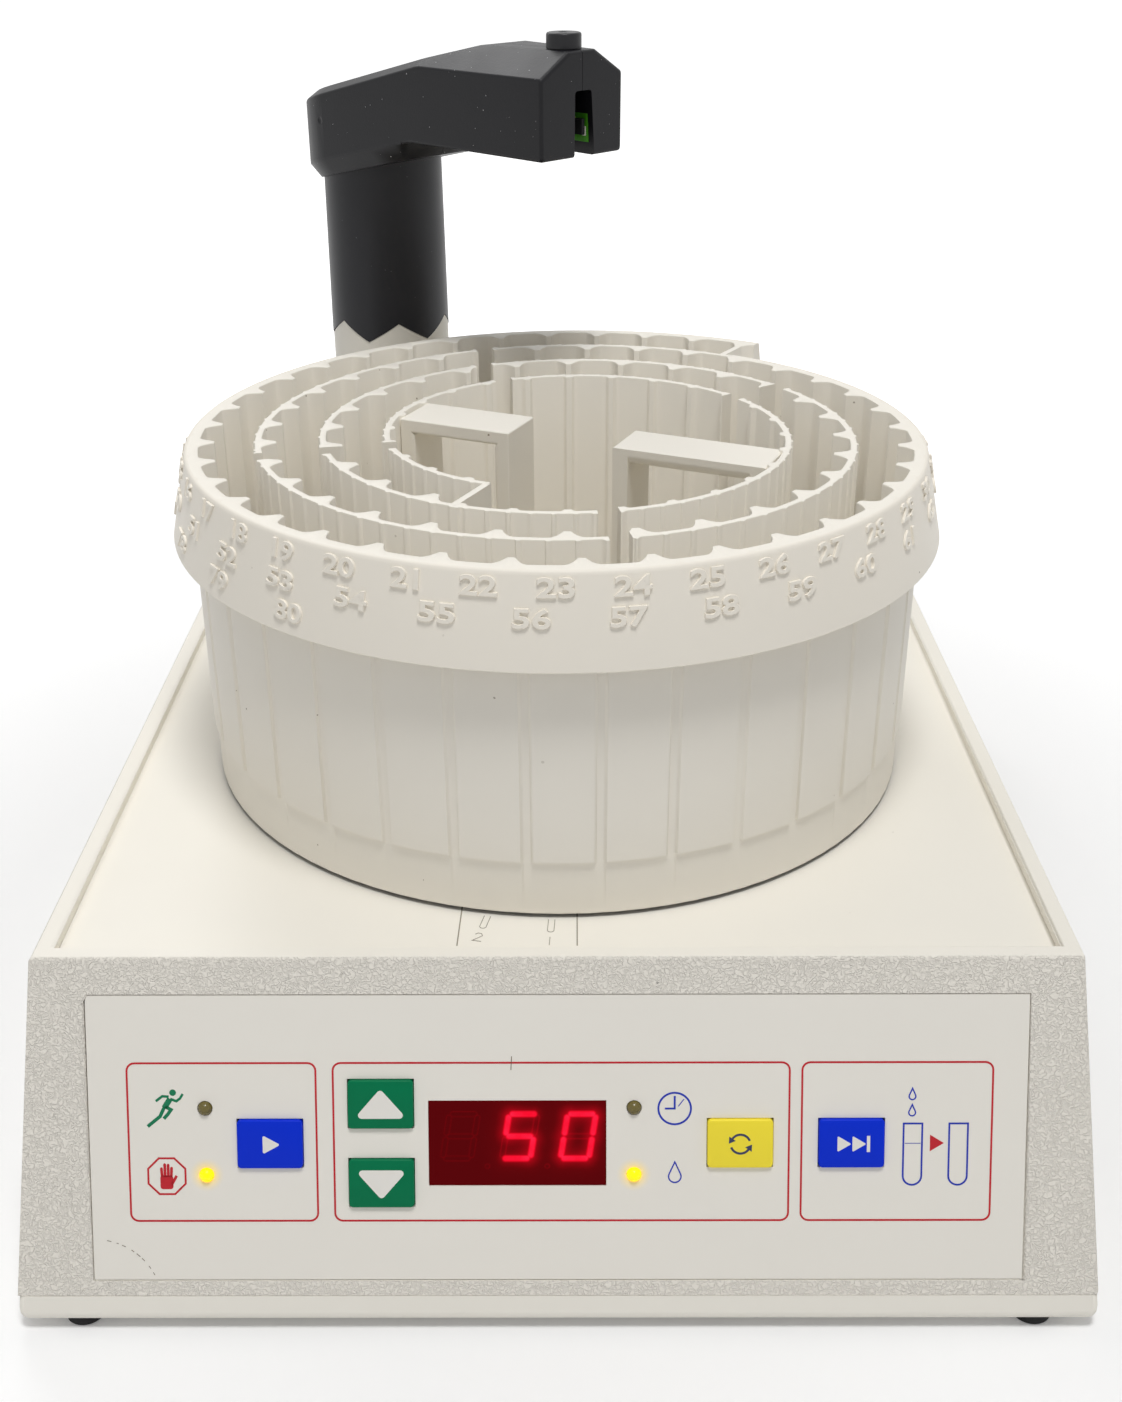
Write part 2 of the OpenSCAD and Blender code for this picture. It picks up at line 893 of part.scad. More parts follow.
module drive_pinion() {
  color("#C7A552")
    at_motor()
      difference() {
        translate([0, 0, pinion_z])
          linear_extrude(pinion_face)
            rotate([0, 0, 180 + 180 / pinion_teeth])
              polygon(gear_outline(pinion_teeth, gear_module));
        rod(motor_shaft_d / 2, pinion_z - over, pinion_z + pinion_face + over);
      }
}

// Plan outline of the spiral wall between two places counted in tubes; the inner face is scalloped
function wall_points(n0, n1, turns, cusps) = let(q = 4, k0 = ceil(n0 * q), k1 = floor(n1 * q),
  ks = concat([n0 * q], [for (k = [k0 : k1]) if (k > n0 * q + 0.1 && k < n1 * q - 0.1) k], [n1 * q]))
  concat(
    [for (k = ks) let(a = tube_angle(k / q) + 360 * turns) polar(wall_r(a), a)],
    [for (i = [len(ks) - 1 : -1 : 0]) let(k = ks[i], a = tube_angle(k / q) + 360 * turns)
      polar(wall_r(a) - rack_wall - (cusps && abs(k - q * tube_lead) % q < 0.01 ? cusp_h : 0), a)]);

// Place along the channel, counted in tubes, of an angle
function place_at(a) = let(t = (a - start_a) * PI / 180) (groove_r * t - spiral_b * t * t / 2) / tube_pitch;

module spiral_wall(a0, a1, turns, cusps) {
  translate([rack_x, rack_y, rack_floor_z])
    linear_extrude(rack_top - rack_floor_z)
      polygon(wall_points(place_at(a0), place_at(a1), turns, cusps));
}

module rack_slots() {
  for (a = slot_angles)
    translate([rack_x, rack_y, 0])
      rotate([0, 0, a])
        translate([rack_r / 2 + 10, 0, 0])
          slab(rack_r - 20, slot_w, rack_floor_z + 6, rack_top + over);
}

// Radial wall that closes the channel between two turns of the spiral
module closing_wall(a, r0, r1) {
  translate([rack_x, rack_y, rack_floor_z])
    rotate([0, 0, a % 360])
      translate([r0, -rack_wall, 0])
        cube([r1 - r0, rack_wall, rack_top - rack_floor_z]);
}

module rack_floor() {
  color("#CEC8BB")
    translate([rack_x, rack_y, 0])
      difference() {
        union() {
          translate([0, 0, rack_z])
            linear_extrude(floor_t)
              polygon([for (i = [0 : 90]) polar(wall_r(start_a + 4 * i), start_a + 4 * i)]);
          rod(spigot_boss_r, rack_floor_z - eps, rack_floor_z + spigot_boss_h);
        }
        rod(disc_d / 2 + disc_fit, rack_z - over, disc_z + disc_t + gear_gap);
        slab(spigot_w + 2 * spigot_fit, spigot_w + 2 * spigot_fit, rack_z - over, rack_floor_z + spigot_boss_h + over);
      }
}

module rack_outer_wall() {
  color("#CEC8BB") {
    spiral_wall(start_a, start_a + 360, 0, true);
    closing_wall(start_a + 2, wall_r(start_a + 361) + eps, wall_r(start_a + 2) - rack_wall / 2);
  }
}

module rack_second_wall() {
  color("#CEC8BB")
    difference() {
      spiral_wall(start_a + 360.4, start_a + 720, 0, true);
      rack_slots();
    }
}

module rack_third_wall() {
  color("#CEC8BB")
    difference() {
      union() {
        spiral_wall(start_a + 720.4, end_a, 0, true);
        spiral_wall(end_a - 359.6, end_a, 1, false);
        closing_wall(end_a - 0.7, wall_r(end_a + 360) - rack_wall / 2, wall_r(end_a) - rack_wall / 2);
      }
      rack_slots();
    }
}

// Cross-section of the collar as four corners at an angle
function collar_ring(a) = let(r = wall_r(a)) [
  [r - eps, collar_top - 2], [r + 0.6, collar_top],
  [r + collar_flare, collar_top - collar_h], [r + collar_flare - collar_t, collar_top - collar_h]];

module rack_collar() {
  steps = 72;
  rings = [for (i = [0 : steps]) let(a = start_a + i * 360 / steps)
    [for (p = collar_ring(a)) [rack_x + p[0] * cos(a), rack_y + p[0] * sin(a), p[1]]]];
  color("#E2DCD2")
    polyhedron(
      points = [for (ring = rings) each ring],
      faces = concat(
        [[0, 1, 2, 3]],
        [for (i = [0 : steps - 1]) for (j = [0 : 3]) let(a = 4 * i + j, b = 4 * i + (j + 1) % 4)
          each [[a, a + 4, b + 4], [a, b + 4, b]]],
        [[4 * steps + 3, 4 * steps + 2, 4 * steps + 1, 4 * steps]]));
}

module handle(reach) {
  hand_z = rack_top - handle_drop;
  translate([0, -hand_bar_w / 2, 0]) {
    for (z = [hand_foot_z, hand_z - handle_t])
      translate([0, 0, z])
        cube([reach, hand_bar_w, handle_t]);
    for (x = [0, reach - handle_t])
      translate([x, 0, rack_floor_z])
        cube([handle_t, hand_bar_w, hand_z - rack_floor_z - handle_t]);
  }
}

module rack_handles() {
  color("#DAD4C8")
    translate([rack_x, rack_y, 0]) {
      rotate([0, 0, hand_angle])
        translate([hand_inner_right, hand_offset, 0])
          handle(hand_reach(inner_turn(hand_angle)) - hand_inner_right);
      rotate([0, 0, hand_angle + 180])
        translate([hand_inner_left, -hand_offset, 0])
          handle(hand_reach(inner_turn(hand_angle + 180)) - hand_inner_left);
    }
}

// Ring of triangular teeth, as prisms set around the post
module clutch_prisms(raise) {
  half = post_r * tan(180 / clutch_teeth);
  for (i = [0 : clutch_teeth - 1])
    translate([px, py, valley_z + raise])
      rotate([90, 0, clutch_turn + i * 360 / clutch_teeth])
        translate([0, 0, 0])
          linear_extrude(post_r + 2)
            polygon([[-half, -2], [half, -2], [half, 0], [0, clutch_h], [-half, 0]]);
}

module arm_post() {
  color("#D5CFC2") {
    translate([px, py, 0])
      tube(post_r, post_bore, post_end, valley_z - 1);
    intersection() {
      translate([px, py, 0])
        tube(post_r, post_bore, valley_z - 1.5, valley_z + clutch_h + over);
      clutch_prisms(0);
    }
  }
}

module post_clip() {
  color("#55585C")
    translate([px, py, 0])
      tube(post_r + 2, post_r, post_house_z - clip_t - gear_gap, post_house_z - gear_gap);
}

module arm_column() {
  color("#2A2A2E")
    difference() {
      translate([px, py, 0])
        tube(column_d / 2, core_r, valley_z + clutch_gap, arm_base);
      clutch_prisms(clutch_gap);
    }
}

module column_core() {
  color("#3A3A3E")
    translate([px, py, 0])
      tube(core_r, core_r - core_wall, valley_z - 40, core_top);
}

module at_arm() {
  translate([px, py, 0])
    rotate([0, 0, arm_swing - 90])
      children();
}

// Thin slice of the arm: a gabled section across the arm at a distance from the column
module arm_slice(t, y0, y1, z0, z1, gw, gh, inset) {
  translate([t, 0, 0])
    rotate([90, 0, 90])
      linear_extrude(eps)
        polygon([[y0 + inset, z0 + inset], [y1 - inset, z0 + inset], [y1 - inset, z1 - inset / 2],
          [y1 - gw - inset / 2, z1 + gh - inset], [y0 + gw + inset / 2, z1 + gh - inset],
          [y0 + inset, z1 - inset / 2]]);
}

// The arm's outer body, drawn in by an inset: a round hub that rises to a kink, then a level beam
module arm_body(inset) {
  at_arm() {
    hull() {
      translate([0, 0, arm_base + inset])
        cylinder(r = hub_r - hub_chamfer - inset, h = eps, $fn = 32);
      translate([0, 0, arm_base + hub_chamfer + inset / 2])
        cylinder(r = hub_r - inset, h = hub_h - 2 * hub_chamfer - inset, $fn = 32);
      translate([0, 0, arm_base + hub_h - inset])
        cylinder(r = hub_r - hub_chamfer - inset, h = eps, $fn = 32);
      arm_slice(kink, head_mid - head_w / 2 - 1, head_mid + head_w / 2 + 1, beam_z, beam_z + beam_h, gable_w - 3,
        gable_h - 1, inset);
    }
    hull() {
      arm_slice(kink, head_mid - head_w / 2 - 1, head_mid + head_w / 2 + 1, beam_z, beam_z + beam_h, gable_w - 3,
        gable_h - 1, inset);
      arm_slice(arm_len - inset - eps, head_mid - head_w / 2, head_mid + head_w / 2, beam_z, beam_z + beam_h,
        gable_w, gable_h, inset);
    }
  }
}

// Half of the arm on one side of the seam, with its cavity, column seat, bush bore and head slot
module arm_half(side) {
  difference() {
    intersection() {
      arm_body(0);
      at_arm()
        translate([-2 * hub_r, side > 0 ? head_mid + seam : head_mid - seam - 2 * head_w, 0])
          cube([arm_len + 3 * hub_r, 2 * head_w, beam_top + over]);
    }
    difference() {
      arm_body(arm_wall);
      at_arm()
        translate([slot_t - 4, head_mid - head_w, 0])
          cube([arm_len, 2 * head_w, beam_top + over]);
    }
    translate([px, py, 0])
      rod(core_r, arm_base - over, core_top);
    at_arm() {
      translate([slot_t, head_mid - head_slot / 2, beam_z - over])
        cube([arm_len, head_slot, slot_h + over]);
      translate([bush_reach, head_mid, 0])
        rod(bush_shank / 2 + run_gap, beam_z, beam_top + over);
      for (t = arm_screw_t)
        translate([t, head_mid, arm_screw_z])
          rotate([90, 0, 0])
            translate([0, 0, -head_w])
              cylinder(r = case_screw_d / 2, h = 1.5 * head_w - 1);
    }
  }
}

arm_screw_z = beam_z + beam_h / 2;

module arm_left_shell() {
  color("#2E2E33")
    arm_half(-1);
}

module arm_right_shell() {
  color("#2E2E33")
    arm_half(1);
}

module arm_screws() {
  color("#3A3A3E")
    at_arm()
      for (t = arm_screw_t)
        translate([t, head_mid, arm_screw_z])
          rotate([90, 0, 0])
            translate([0, 0, -head_w / 2 - 1])
              cylinder(r = case_screw_d / 2, h = head_w);
}

module sensor_board() {
  color("#1E7A3C")
    at_arm()
      translate([slot_t, head_mid - head_slot / 2 + 0.1, beam_z + 3])
        cube([1.2, head_slot - 0.2, slot_h - 5]);
}

module sensor_eyes() {
  color("#101014")
    at_arm()
      for (s = [-1, 1])
        translate([bush_reach + 3, head_mid + s * (head_slot / 2 - 0.5), beam_z + 7])
          slab(3, 1, -2, 2);
}

module tubing_bush() {
  color("#26262A")
    at_arm()
      translate([bush_reach, head_mid, 0])
        difference() {
          union() {
            rod(bush_d / 2, beam_top + 0.1, beam_top + 0.1 + bush_cap_h);
            rod(bush_shank / 2, beam_z + slot_h - 5, beam_top + 0.2);
          }
          rod(bush_bore / 2, beam_z, beam_top + bush_cap_h + over);
        }
}

// Key cap in its window, with the flange that keeps it in and the stem down to its switch
module key_at(x, y) {
  on_face()
    translate([x, y, 0]) {
      slab(key_w, key_h, -panel_t - panel_sink - 0.06, key_proud - panel_sink);
      translate([0, 0, -panel_t - panel_sink - 0.05 - key_flange])
        slab(key_w + 2, key_h + 2, 0, key_flange);
      rod(stem_d / 2, switch_h - board_depth + key_travel + 0.1, -panel_t - panel_sink - key_flange);
    }
}

module run_key() {
  color("#1238C8")
    key_at(run_x, keys_y);
}

module up_key() {
  color("#067A50")
    key_at(arrow_x, keys_y + arrows_y);
}

module down_key() {
  color("#067A50")
    key_at(arrow_x, keys_y - arrows_y);
}

module mode_key() {
  color("#FCE450")
    key_at(mode_x, keys_y);
}

module advance_key() {
  color("#1238C8")
    key_at(advance_x, keys_y);
}

upper_casing();
base_pan();
feet();
foot_screws();
casing_screws();
front_panel();
display_lens();
display_module();
lit_lamps();
unlit_lamps();
control_board();
board_standoffs();
board_screws();
tactile_switches();
controller_chips();
drive_motor();
motor_bracket();
motor_screws();
transformer();
transformer_screws();
power_inlet();
fuse_drawer();
switch_frame();
remote_socket();
spindle_housing();
spindle_bush();
post_housing();
post_bearings();
housing_screws();
turntable();
drive_gear();
spindle_clip();
motor_shaft();
drive_pinion();
rack_floor();
rack_outer_wall();
rack_second_wall();
rack_third_wall();
rack_collar();
rack_handles();
arm_post();
post_clip();
arm_column();
column_core();
arm_left_shell();
arm_right_shell();
arm_screws();
sensor_board();
sensor_eyes();
tubing_bush();
run_key();
up_key();
down_key();
mode_key();
advance_key();
power_rocker();
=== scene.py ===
import math
import random
import bpy
import bmesh
from mathutils import Matrix, Vector


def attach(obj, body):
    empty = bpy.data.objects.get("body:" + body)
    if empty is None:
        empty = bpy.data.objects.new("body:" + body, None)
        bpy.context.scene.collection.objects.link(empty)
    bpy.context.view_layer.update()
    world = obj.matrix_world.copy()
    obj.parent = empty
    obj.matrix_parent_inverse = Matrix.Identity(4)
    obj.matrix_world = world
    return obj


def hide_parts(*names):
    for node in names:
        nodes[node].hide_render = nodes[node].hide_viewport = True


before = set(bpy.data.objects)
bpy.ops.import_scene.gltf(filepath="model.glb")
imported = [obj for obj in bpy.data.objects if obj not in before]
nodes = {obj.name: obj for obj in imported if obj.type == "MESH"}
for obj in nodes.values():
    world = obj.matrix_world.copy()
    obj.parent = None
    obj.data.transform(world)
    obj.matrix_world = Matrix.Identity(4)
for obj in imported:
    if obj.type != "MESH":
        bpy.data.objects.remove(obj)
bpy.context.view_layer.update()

# ---------------------------------------------------------------- camera
# The photograph looks down on the instrument from in front of and above its keypad, a hair to the right of its middle.
# Focal length, height and tilt were fitted to the outlines of the base and the rack.
def placed_object(name, data):
    """A new object in the scene"""
    made = bpy.data.objects.new(name, data)
    bpy.context.scene.collection.objects.link(made)
    return made


MM = 0.001
camera_place = Vector((2.34, -417.8, 286.4)) * MM
camera_pitch, camera_yaw, camera_roll = math.radians(27.06), math.radians(0.24), math.radians(-0.25)
lens_data = bpy.data.cameras.new("photo_camera")
lens_data.lens, lens_data.sensor_width = 42.27, 36
lens_data.clip_start, lens_data.clip_end = 0.02, 40
camera = placed_object("photo_camera", lens_data)
level_right = Vector((math.cos(camera_yaw), math.sin(camera_yaw), 0))
level_ahead = Vector((-level_right.y, level_right.x, 0))
ahead = level_ahead * math.cos(camera_pitch) - Vector((0, 0, math.sin(camera_pitch)))
level_up = level_right.cross(ahead)
right = math.cos(camera_roll) * level_right + math.sin(camera_roll) * level_up
up = math.cos(camera_roll) * level_up - math.sin(camera_roll) * level_right
camera.matrix_world = Matrix.Translation(camera_place) @ Matrix((right, up, -ahead)).transposed().to_4x4()
bpy.context.scene.camera = camera
bpy.context.scene.view_settings.view_transform = "Standard"


# ---------------------------------------------------------------- studio
# A white sheet under a broad lamp high in front, with weaker ones at the front left and the back, as in a product
# picture. The white behind the instrument is only what the camera, glossy and transmission rays see.
class Field:
    """A value in a node tree; sums and products with it add Math nodes to the tree"""
    def __init__(self, tree, socket):
        self.tree, self.socket = tree, socket

    def feeds(self, socket):
        self.tree.links.new(self.socket, socket)

    def math(self, operation, *others, clamp=False):
        return math_node(self.tree, operation, self, *others, clamp=clamp)

    def __add__(self, other):
        return self.math("ADD", other)

    def __sub__(self, other):
        return self.math("SUBTRACT", other)

    def __rsub__(self, other):
        return math_node(self.tree, "SUBTRACT", other, self)

    def __mul__(self, other):
        return self.math("MULTIPLY", other)

    def __truediv__(self, other):
        return self.math("DIVIDE", other)


def math_node(tree, operation, *values, clamp=False):
    """A Math node fed by fields or plain numbers; gives its output as a field"""
    node = tree.nodes.new("ShaderNodeMath")
    node.operation, node.use_clamp = operation, clamp
    for value, socket in zip(values, node.inputs):
        if isinstance(value, Field):
            value.feeds(socket)
        else:
            socket.default_value = value
    return Field(tree, node.outputs[0])


def seen_directly(tree):
    """1 for camera, glossy and transmission rays"""
    path = tree.nodes.new("ShaderNodeLightPath").outputs
    total = Field(tree, path["Is Camera Ray"])
    for name in ("Is Glossy Ray", "Is Transmission Ray"):
        total = total.math("ADD", Field(tree, path[name]), clamp=True)
    return total


DOME_STRENGTH, FLOOR_WHITE, LAMPS_AIM = 0.33, 0.92, Vector((0, 0, 0.08))
world = bpy.data.worlds.new("studio")
bpy.context.scene.world = world
world.use_nodes = True
sky = world.node_tree
sky.nodes.clear()
dome, white = sky.nodes.new("ShaderNodeBackground"), sky.nodes.new("ShaderNodeBackground")
for background, strength in ((dome, DOME_STRENGTH), (white, 1.0)):
    background.inputs["Color"].default_value = (1, 1, 1, 1)
    background.inputs["Strength"].default_value = strength
choose = sky.nodes.new("ShaderNodeMixShader")
seen_directly(sky).feeds(choose.inputs[0])
sky.links.new(dome.outputs[0], choose.inputs[1])
sky.links.new(white.outputs[0], choose.inputs[2])
sky.links.new(choose.outputs[0], sky.nodes.new("ShaderNodeOutputWorld").inputs[0])

for name, place, size, watts in (("overhead_light", (0.1, -0.45, 1.62), 0.45, 13.2),
                                ("front_left_light", (-1.3, -1.3, 0.9), 0.7, 0.5),
                                ("back_light", (-0.5, 1.2, 1.3), 0.6, 4.5)):
    light = bpy.data.lights.new(name, "AREA")
    light.shape, light.size, light.energy = "DISK", size, watts
    lamp = placed_object(name, light)
    lamp.location = place
    lamp.rotation_euler = (LAMPS_AIM - Vector(place)).to_track_quat("-Z", "Y").to_euler()

floor_mesh = bpy.data.meshes.new("studio_floor")
floor_mesh.from_pydata([(-6, -4, 0), (6, -4, 0), (6, 8, 0), (-6, 8, 0)], [], [(0, 1, 2, 3)])
floor = placed_object("studio_floor", floor_mesh)
floor_paint = bpy.data.materials.new("studio_floor")
floor_paint.use_nodes = True
tree = floor_paint.node_tree
tree.nodes.clear()
matt, glow = tree.nodes.new("ShaderNodeBsdfDiffuse"), tree.nodes.new("ShaderNodeEmission")
matt.inputs["Color"].default_value = (FLOOR_WHITE, FLOOR_WHITE, FLOOR_WHITE, 1)
# the sheet is lifted to white further out, where the overhead light falls off, and keeps the shadow near the feet
away = tree.nodes.new("ShaderNodeVectorMath")
away.operation = "LENGTH"
tree.links.new(tree.nodes.new("ShaderNodeTexCoord").outputs["Object"], away.inputs[0])
lift = tree.nodes.new("ShaderNodeMapRange")
tree.links.new(away.outputs["Value"], lift.inputs["Value"])
for socket, value in (("From Min", 0.17), ("From Max", 0.6), ("To Min", 0.08), ("To Max", 0.75)):
    lift.inputs[socket].default_value = value
(seen_directly(tree) * Field(tree, lift.outputs["Result"])).feeds(glow.inputs["Strength"])
both = tree.nodes.new("ShaderNodeAddShader")
tree.links.new(matt.outputs[0], both.inputs[0])
tree.links.new(glow.outputs[0], both.inputs[1])
tree.links.new(both.outputs[0], tree.nodes.new("ShaderNodeOutputMaterial").inputs[0])
floor_mesh.materials.append(floor_paint)

# ---------------------------------------------------------------- upper casing
# One structural-foam moulding in cream polystyrene. Its sloping front and sides have a fine worm-like grain; the
# sunken deck and the rim round it are smooth. It drops over the base pan and is pulled down by four screws from below.
RIM_Z, LEAN, LONG_EDGE, RIM_BAND, LOW_BAND, CORNER_X = 79.0, math.radians(20.7), 30 * MM, 4, 9, 100
TOP_Y = -160 + (RIM_Z - 3) * math.tan(LEAN)


def linear(red, green, blue):
    """A colour as the screen shows it, 0 to 255, as Blender's linear colour"""
    parts = [c / 255 for c in (red, green, blue)]
    return tuple(c / 12.92 if c <= 0.04045 else ((c + 0.055) / 1.055) ** 2.4 for c in parts) + (1.0,)


def group_socket(group, name, kind, out=False, value=None):
    """Adds an input or output to a node group"""
    socket = group.interface.new_socket(name=name, in_out="OUTPUT" if out else "INPUT", socket_type=kind)
    if value is not None:
        socket.default_value = value


def noise_field(tree, where, scale, detail=3.0, distortion=0.0):
    """Noise at the places that a socket gives; the scale may be a field"""
    node = tree.nodes.new("ShaderNodeTexNoise")
    tree.links.new(where, node.inputs["Vector"])
    node.inputs["Detail"].default_value, node.inputs["Distortion"].default_value = detail, distortion
    if isinstance(scale, Field):
        scale.feeds(node.inputs["Scale"])
    else:
        node.inputs["Scale"].default_value = scale
    return Field(tree, node.outputs["Fac"])


def group_inputs(tree):
    """The inputs of a node group by name, as fields"""
    return {socket.name: Field(tree, socket) for socket in tree.nodes.new("NodeGroupInput").outputs if socket.name}


def moulding_group():
    """Cloudy colour, stray specks, worm or pebble grain with painted shade in its pits, and uneven gloss of a moulded
    surface
    """
    group = bpy.data.node_groups.new("moulded_surface", "ShaderNodeTree")
    group_socket(group, "Colour", "NodeSocketColor")
    group_socket(group, "Speck colour", "NodeSocketColor")
    for name, value in (("Cloud", 0.03), ("Cloud scale", 30.0), ("Speck share", 0.03), ("Speck scale", 700.0),
                        ("Grain scale", 1500.0), ("Worm", 0.0), ("Pit shade", 0.0), ("Roughness", 0.5),
                        ("Gloss change", 0.1)):
        group_socket(group, name, "NodeSocketFloat", value=value)
    for name, kind in (("Colour", "NodeSocketColor"), ("Roughness", "NodeSocketFloat"), ("Height", "NodeSocketFloat")):
        group_socket(group, name, kind, out=True)
    given, made = group_inputs(group), group.nodes.new("NodeGroupOutput").inputs
    where = group.nodes.new("ShaderNodeTexCoord").outputs["Object"]
    # grain: worms are the zero lines of a bent noise, pebbles the noise itself
    pebble = noise_field(group, where, given["Grain scale"], 1.0, 0.6)
    worm = ((pebble * 2.0 - 1.0).math("ABSOLUTE") * 4.0).math("MINIMUM", 1.0)
    height = worm * given["Worm"] + pebble * (1.0 - given["Worm"])
    # colour: slow clouds, painted shade in the pits, specks at a share of the cells of a Voronoi pattern
    cloud = noise_field(group, where, given["Cloud scale"], 5.0, 0.4)
    shade = (cloud - 0.5) * given["Cloud"] * 4.0 + 1.0
    tinted = group.nodes.new("ShaderNodeVectorMath")
    tinted.operation = "SCALE"
    given["Colour"].feeds(tinted.inputs[0])
    (shade - (1.0 - height) * given["Pit shade"]).feeds(tinted.inputs["Scale"])
    cells = group.nodes.new("ShaderNodeTexVoronoi")
    group.links.new(where, cells.inputs["Vector"])
    given["Speck scale"].feeds(cells.inputs["Scale"])
    dice = group.nodes.new("ShaderNodeSeparateColor")
    group.links.new(cells.outputs["Color"], dice.inputs[0])
    chance, size, strength = (Field(group, socket) for socket in dice.outputs)
    ragged = noise_field(group, where, 4000.0) * 0.2 + Field(group, cells.outputs["Distance"])
    inside = ragged.math("LESS_THAN", size * 0.18 + 0.16)
    mixed = group.nodes.new("ShaderNodeMix")
    mixed.data_type = "RGBA"
    (chance.math("LESS_THAN", given["Speck share"]) * inside * strength).feeds(mixed.inputs["Factor"])
    group.links.new(tinted.outputs[0], mixed.inputs[6])
    given["Speck colour"].feeds(mixed.inputs[7])
    group.links.new(mixed.outputs[2], made["Colour"])
    gloss = (noise_field(group, where, 90.0, 4.0) - 0.5) * given["Gloss change"] + given["Roughness"]
    gloss.feeds(made["Roughness"])
    height.feeds(made["Height"])
    return group


moulding = moulding_group()


def moulded(name, colour, roughness, bump=0.01, specular=0.3, metallic=0.0, speck=None, **marks):
    """A plastic or metal finish: the moulded_surface group into a Principled shader. bump is in millimetres"""
    material = bpy.data.materials.new(name)
    material.use_nodes = True
    tree = material.node_tree
    shader = tree.nodes["Principled BSDF"]
    shader.inputs["Specular IOR Level"].default_value = specular
    shader.inputs["Metallic"].default_value = metallic
    skin = tree.nodes.new("ShaderNodeGroup")
    skin.node_tree = moulding
    skin.inputs["Colour"].default_value = linear(*colour)
    skin.inputs["Speck colour"].default_value = linear(*(speck or [c * 0.55 for c in colour]))
    skin.inputs["Roughness"].default_value = roughness
    for key, value in marks.items():
        skin.inputs[key.replace("_", " ").capitalize()].default_value = value
    tree.links.new(skin.outputs["Colour"], shader.inputs["Base Color"])
    tree.links.new(skin.outputs["Roughness"], shader.inputs["Roughness"])
    relief = tree.nodes.new("ShaderNodeBump")
    relief.inputs["Distance"].default_value = bump * MM
    tree.links.new(skin.outputs["Height"], relief.inputs["Height"])
    tree.links.new(relief.outputs[0], shader.inputs["Normal"])
    return material


def welded(node):
    """A CAD node's shape as a bmesh, its corners joined and its flat faces made whole"""
    shape = bmesh.new()
    shape.from_mesh(nodes[node].data)
    bmesh.ops.remove_doubles(shape, verts=shape.verts, dist=2e-6)
    bmesh.ops.dissolve_limit(shape, angle_limit=math.radians(0.3), verts=shape.verts, edges=shape.edges)
    return shape


def piece_of(shape, name, *materials, smooth=32):
    """Turns a bmesh into a piece that is shaded smooth up to an angle in degrees"""
    mesh = bpy.data.meshes.new(name)
    shape.to_mesh(mesh)
    shape.free()
    if "custom_normal" in mesh.attributes:
        mesh.attributes.remove(mesh.attributes["custom_normal"])
    for material in materials:
        mesh.materials.append(material)
    mesh.shade_smooth()
    mesh.set_sharp_from_angle(angle=math.radians(smooth))
    return placed_object(name, mesh)


def hand_over(piece, body, node=None):
    """Puts a piece on the body it rides on and hides the CAD node it stands for, if one is given"""
    if node:
        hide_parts(node)
    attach(piece, body)


CREASE = math.radians(18)


def round_edges(shape, weight):
    """Marks creased edges for rounding by the share that a function gives for each, 0 for none"""
    layer = shape.edges.layers.float.new("bevel_weight_edge")
    for edge in shape.edges:
        if len(edge.link_faces) == 2 and edge.calc_face_angle(0) > CREASE:
            edge[layer] = weight(edge)


def add_rounding(piece, width, segments=3):
    """Rounds the marked edges by a width in millimetres"""
    rounding = piece.modifiers.new("rounded_edges", "BEVEL")
    rounding.limit_method, rounding.width, rounding.segments = "WEIGHT", width * MM, segments
    rounding.use_clamp_overlap, rounding.harden_normals = False, True
    return piece


def middle_of(edge):
    """The middle of an edge in millimetres"""
    return (edge.verts[0].co + edge.verts[1].co) / 2 / MM


def casing_weight(edge):
    """Rounds the long edges of the rim, of the lower edge and of the corners"""
    middle = middle_of(edge)
    at_rim_or_foot = middle.z > RIM_Z - RIM_BAND or middle.z < LOW_BAND
    return float(edge.calc_length() > LONG_EDGE and (at_rim_or_foot or abs(middle.x) > CORNER_X))


# the grain's pits carry painted shade: pit_shade darkens the colour where the grain is low
grained_cream = moulded("grained_cream", (244, 239, 229), 0.6, bump=0.15, worm=1.0, grain_scale=1150.0,
                        pit_shade=0.09, cloud=0.012, speck_share=0.003)
smooth_cream = moulded("smooth_cream", (243, 239, 229), 0.45, bump=0.006, cloud=0.008, cloud_scale=14.0,
                       speck_share=0.004, speck=(130, 110, 85), grain_scale=900.0)
shape = welded("upper_casing")
for face in shape.faces:
    grained = face.normal.z < 0.6 and face.calc_center_median().z < (RIM_Z - 1.8) * MM
    face.material_index = 0 if grained else 1
round_edges(shape, casing_weight)
casing = add_rounding(piece_of(shape, "grained_casing", grained_cream, smooth_cream), 0.7)
hand_over(casing, "base", "upper_casing")

# ---------------------------------------------------------------- base pan
# The shallow pan under the casing is moulded in the same cream plastic, but smooth. Its vertical corners and its
# lower edge are rounded.
PAN_SIDE, PAN_FRONT, PAN_LOW, PAN_TOP_SHARE = 117.5, 159.5, 4, 0.3


def pan_weight(edge):
    """Rounds the pan's outer edges, the upper one less"""
    middle = middle_of(edge)
    if abs(middle.x) <= PAN_SIDE and abs(middle.y) <= PAN_FRONT:
        return 0.0
    upright = abs(edge.verts[0].co.z - edge.verts[1].co.z) > 3 * MM
    return 1.0 if upright or middle.z < PAN_LOW else PAN_TOP_SHARE


shape = welded("base_pan")
round_edges(shape, pan_weight)
pan = add_rounding(piece_of(shape, "smooth_pan", smooth_cream), 2.2, 4)
hand_over(pan, "base", "base_pan")

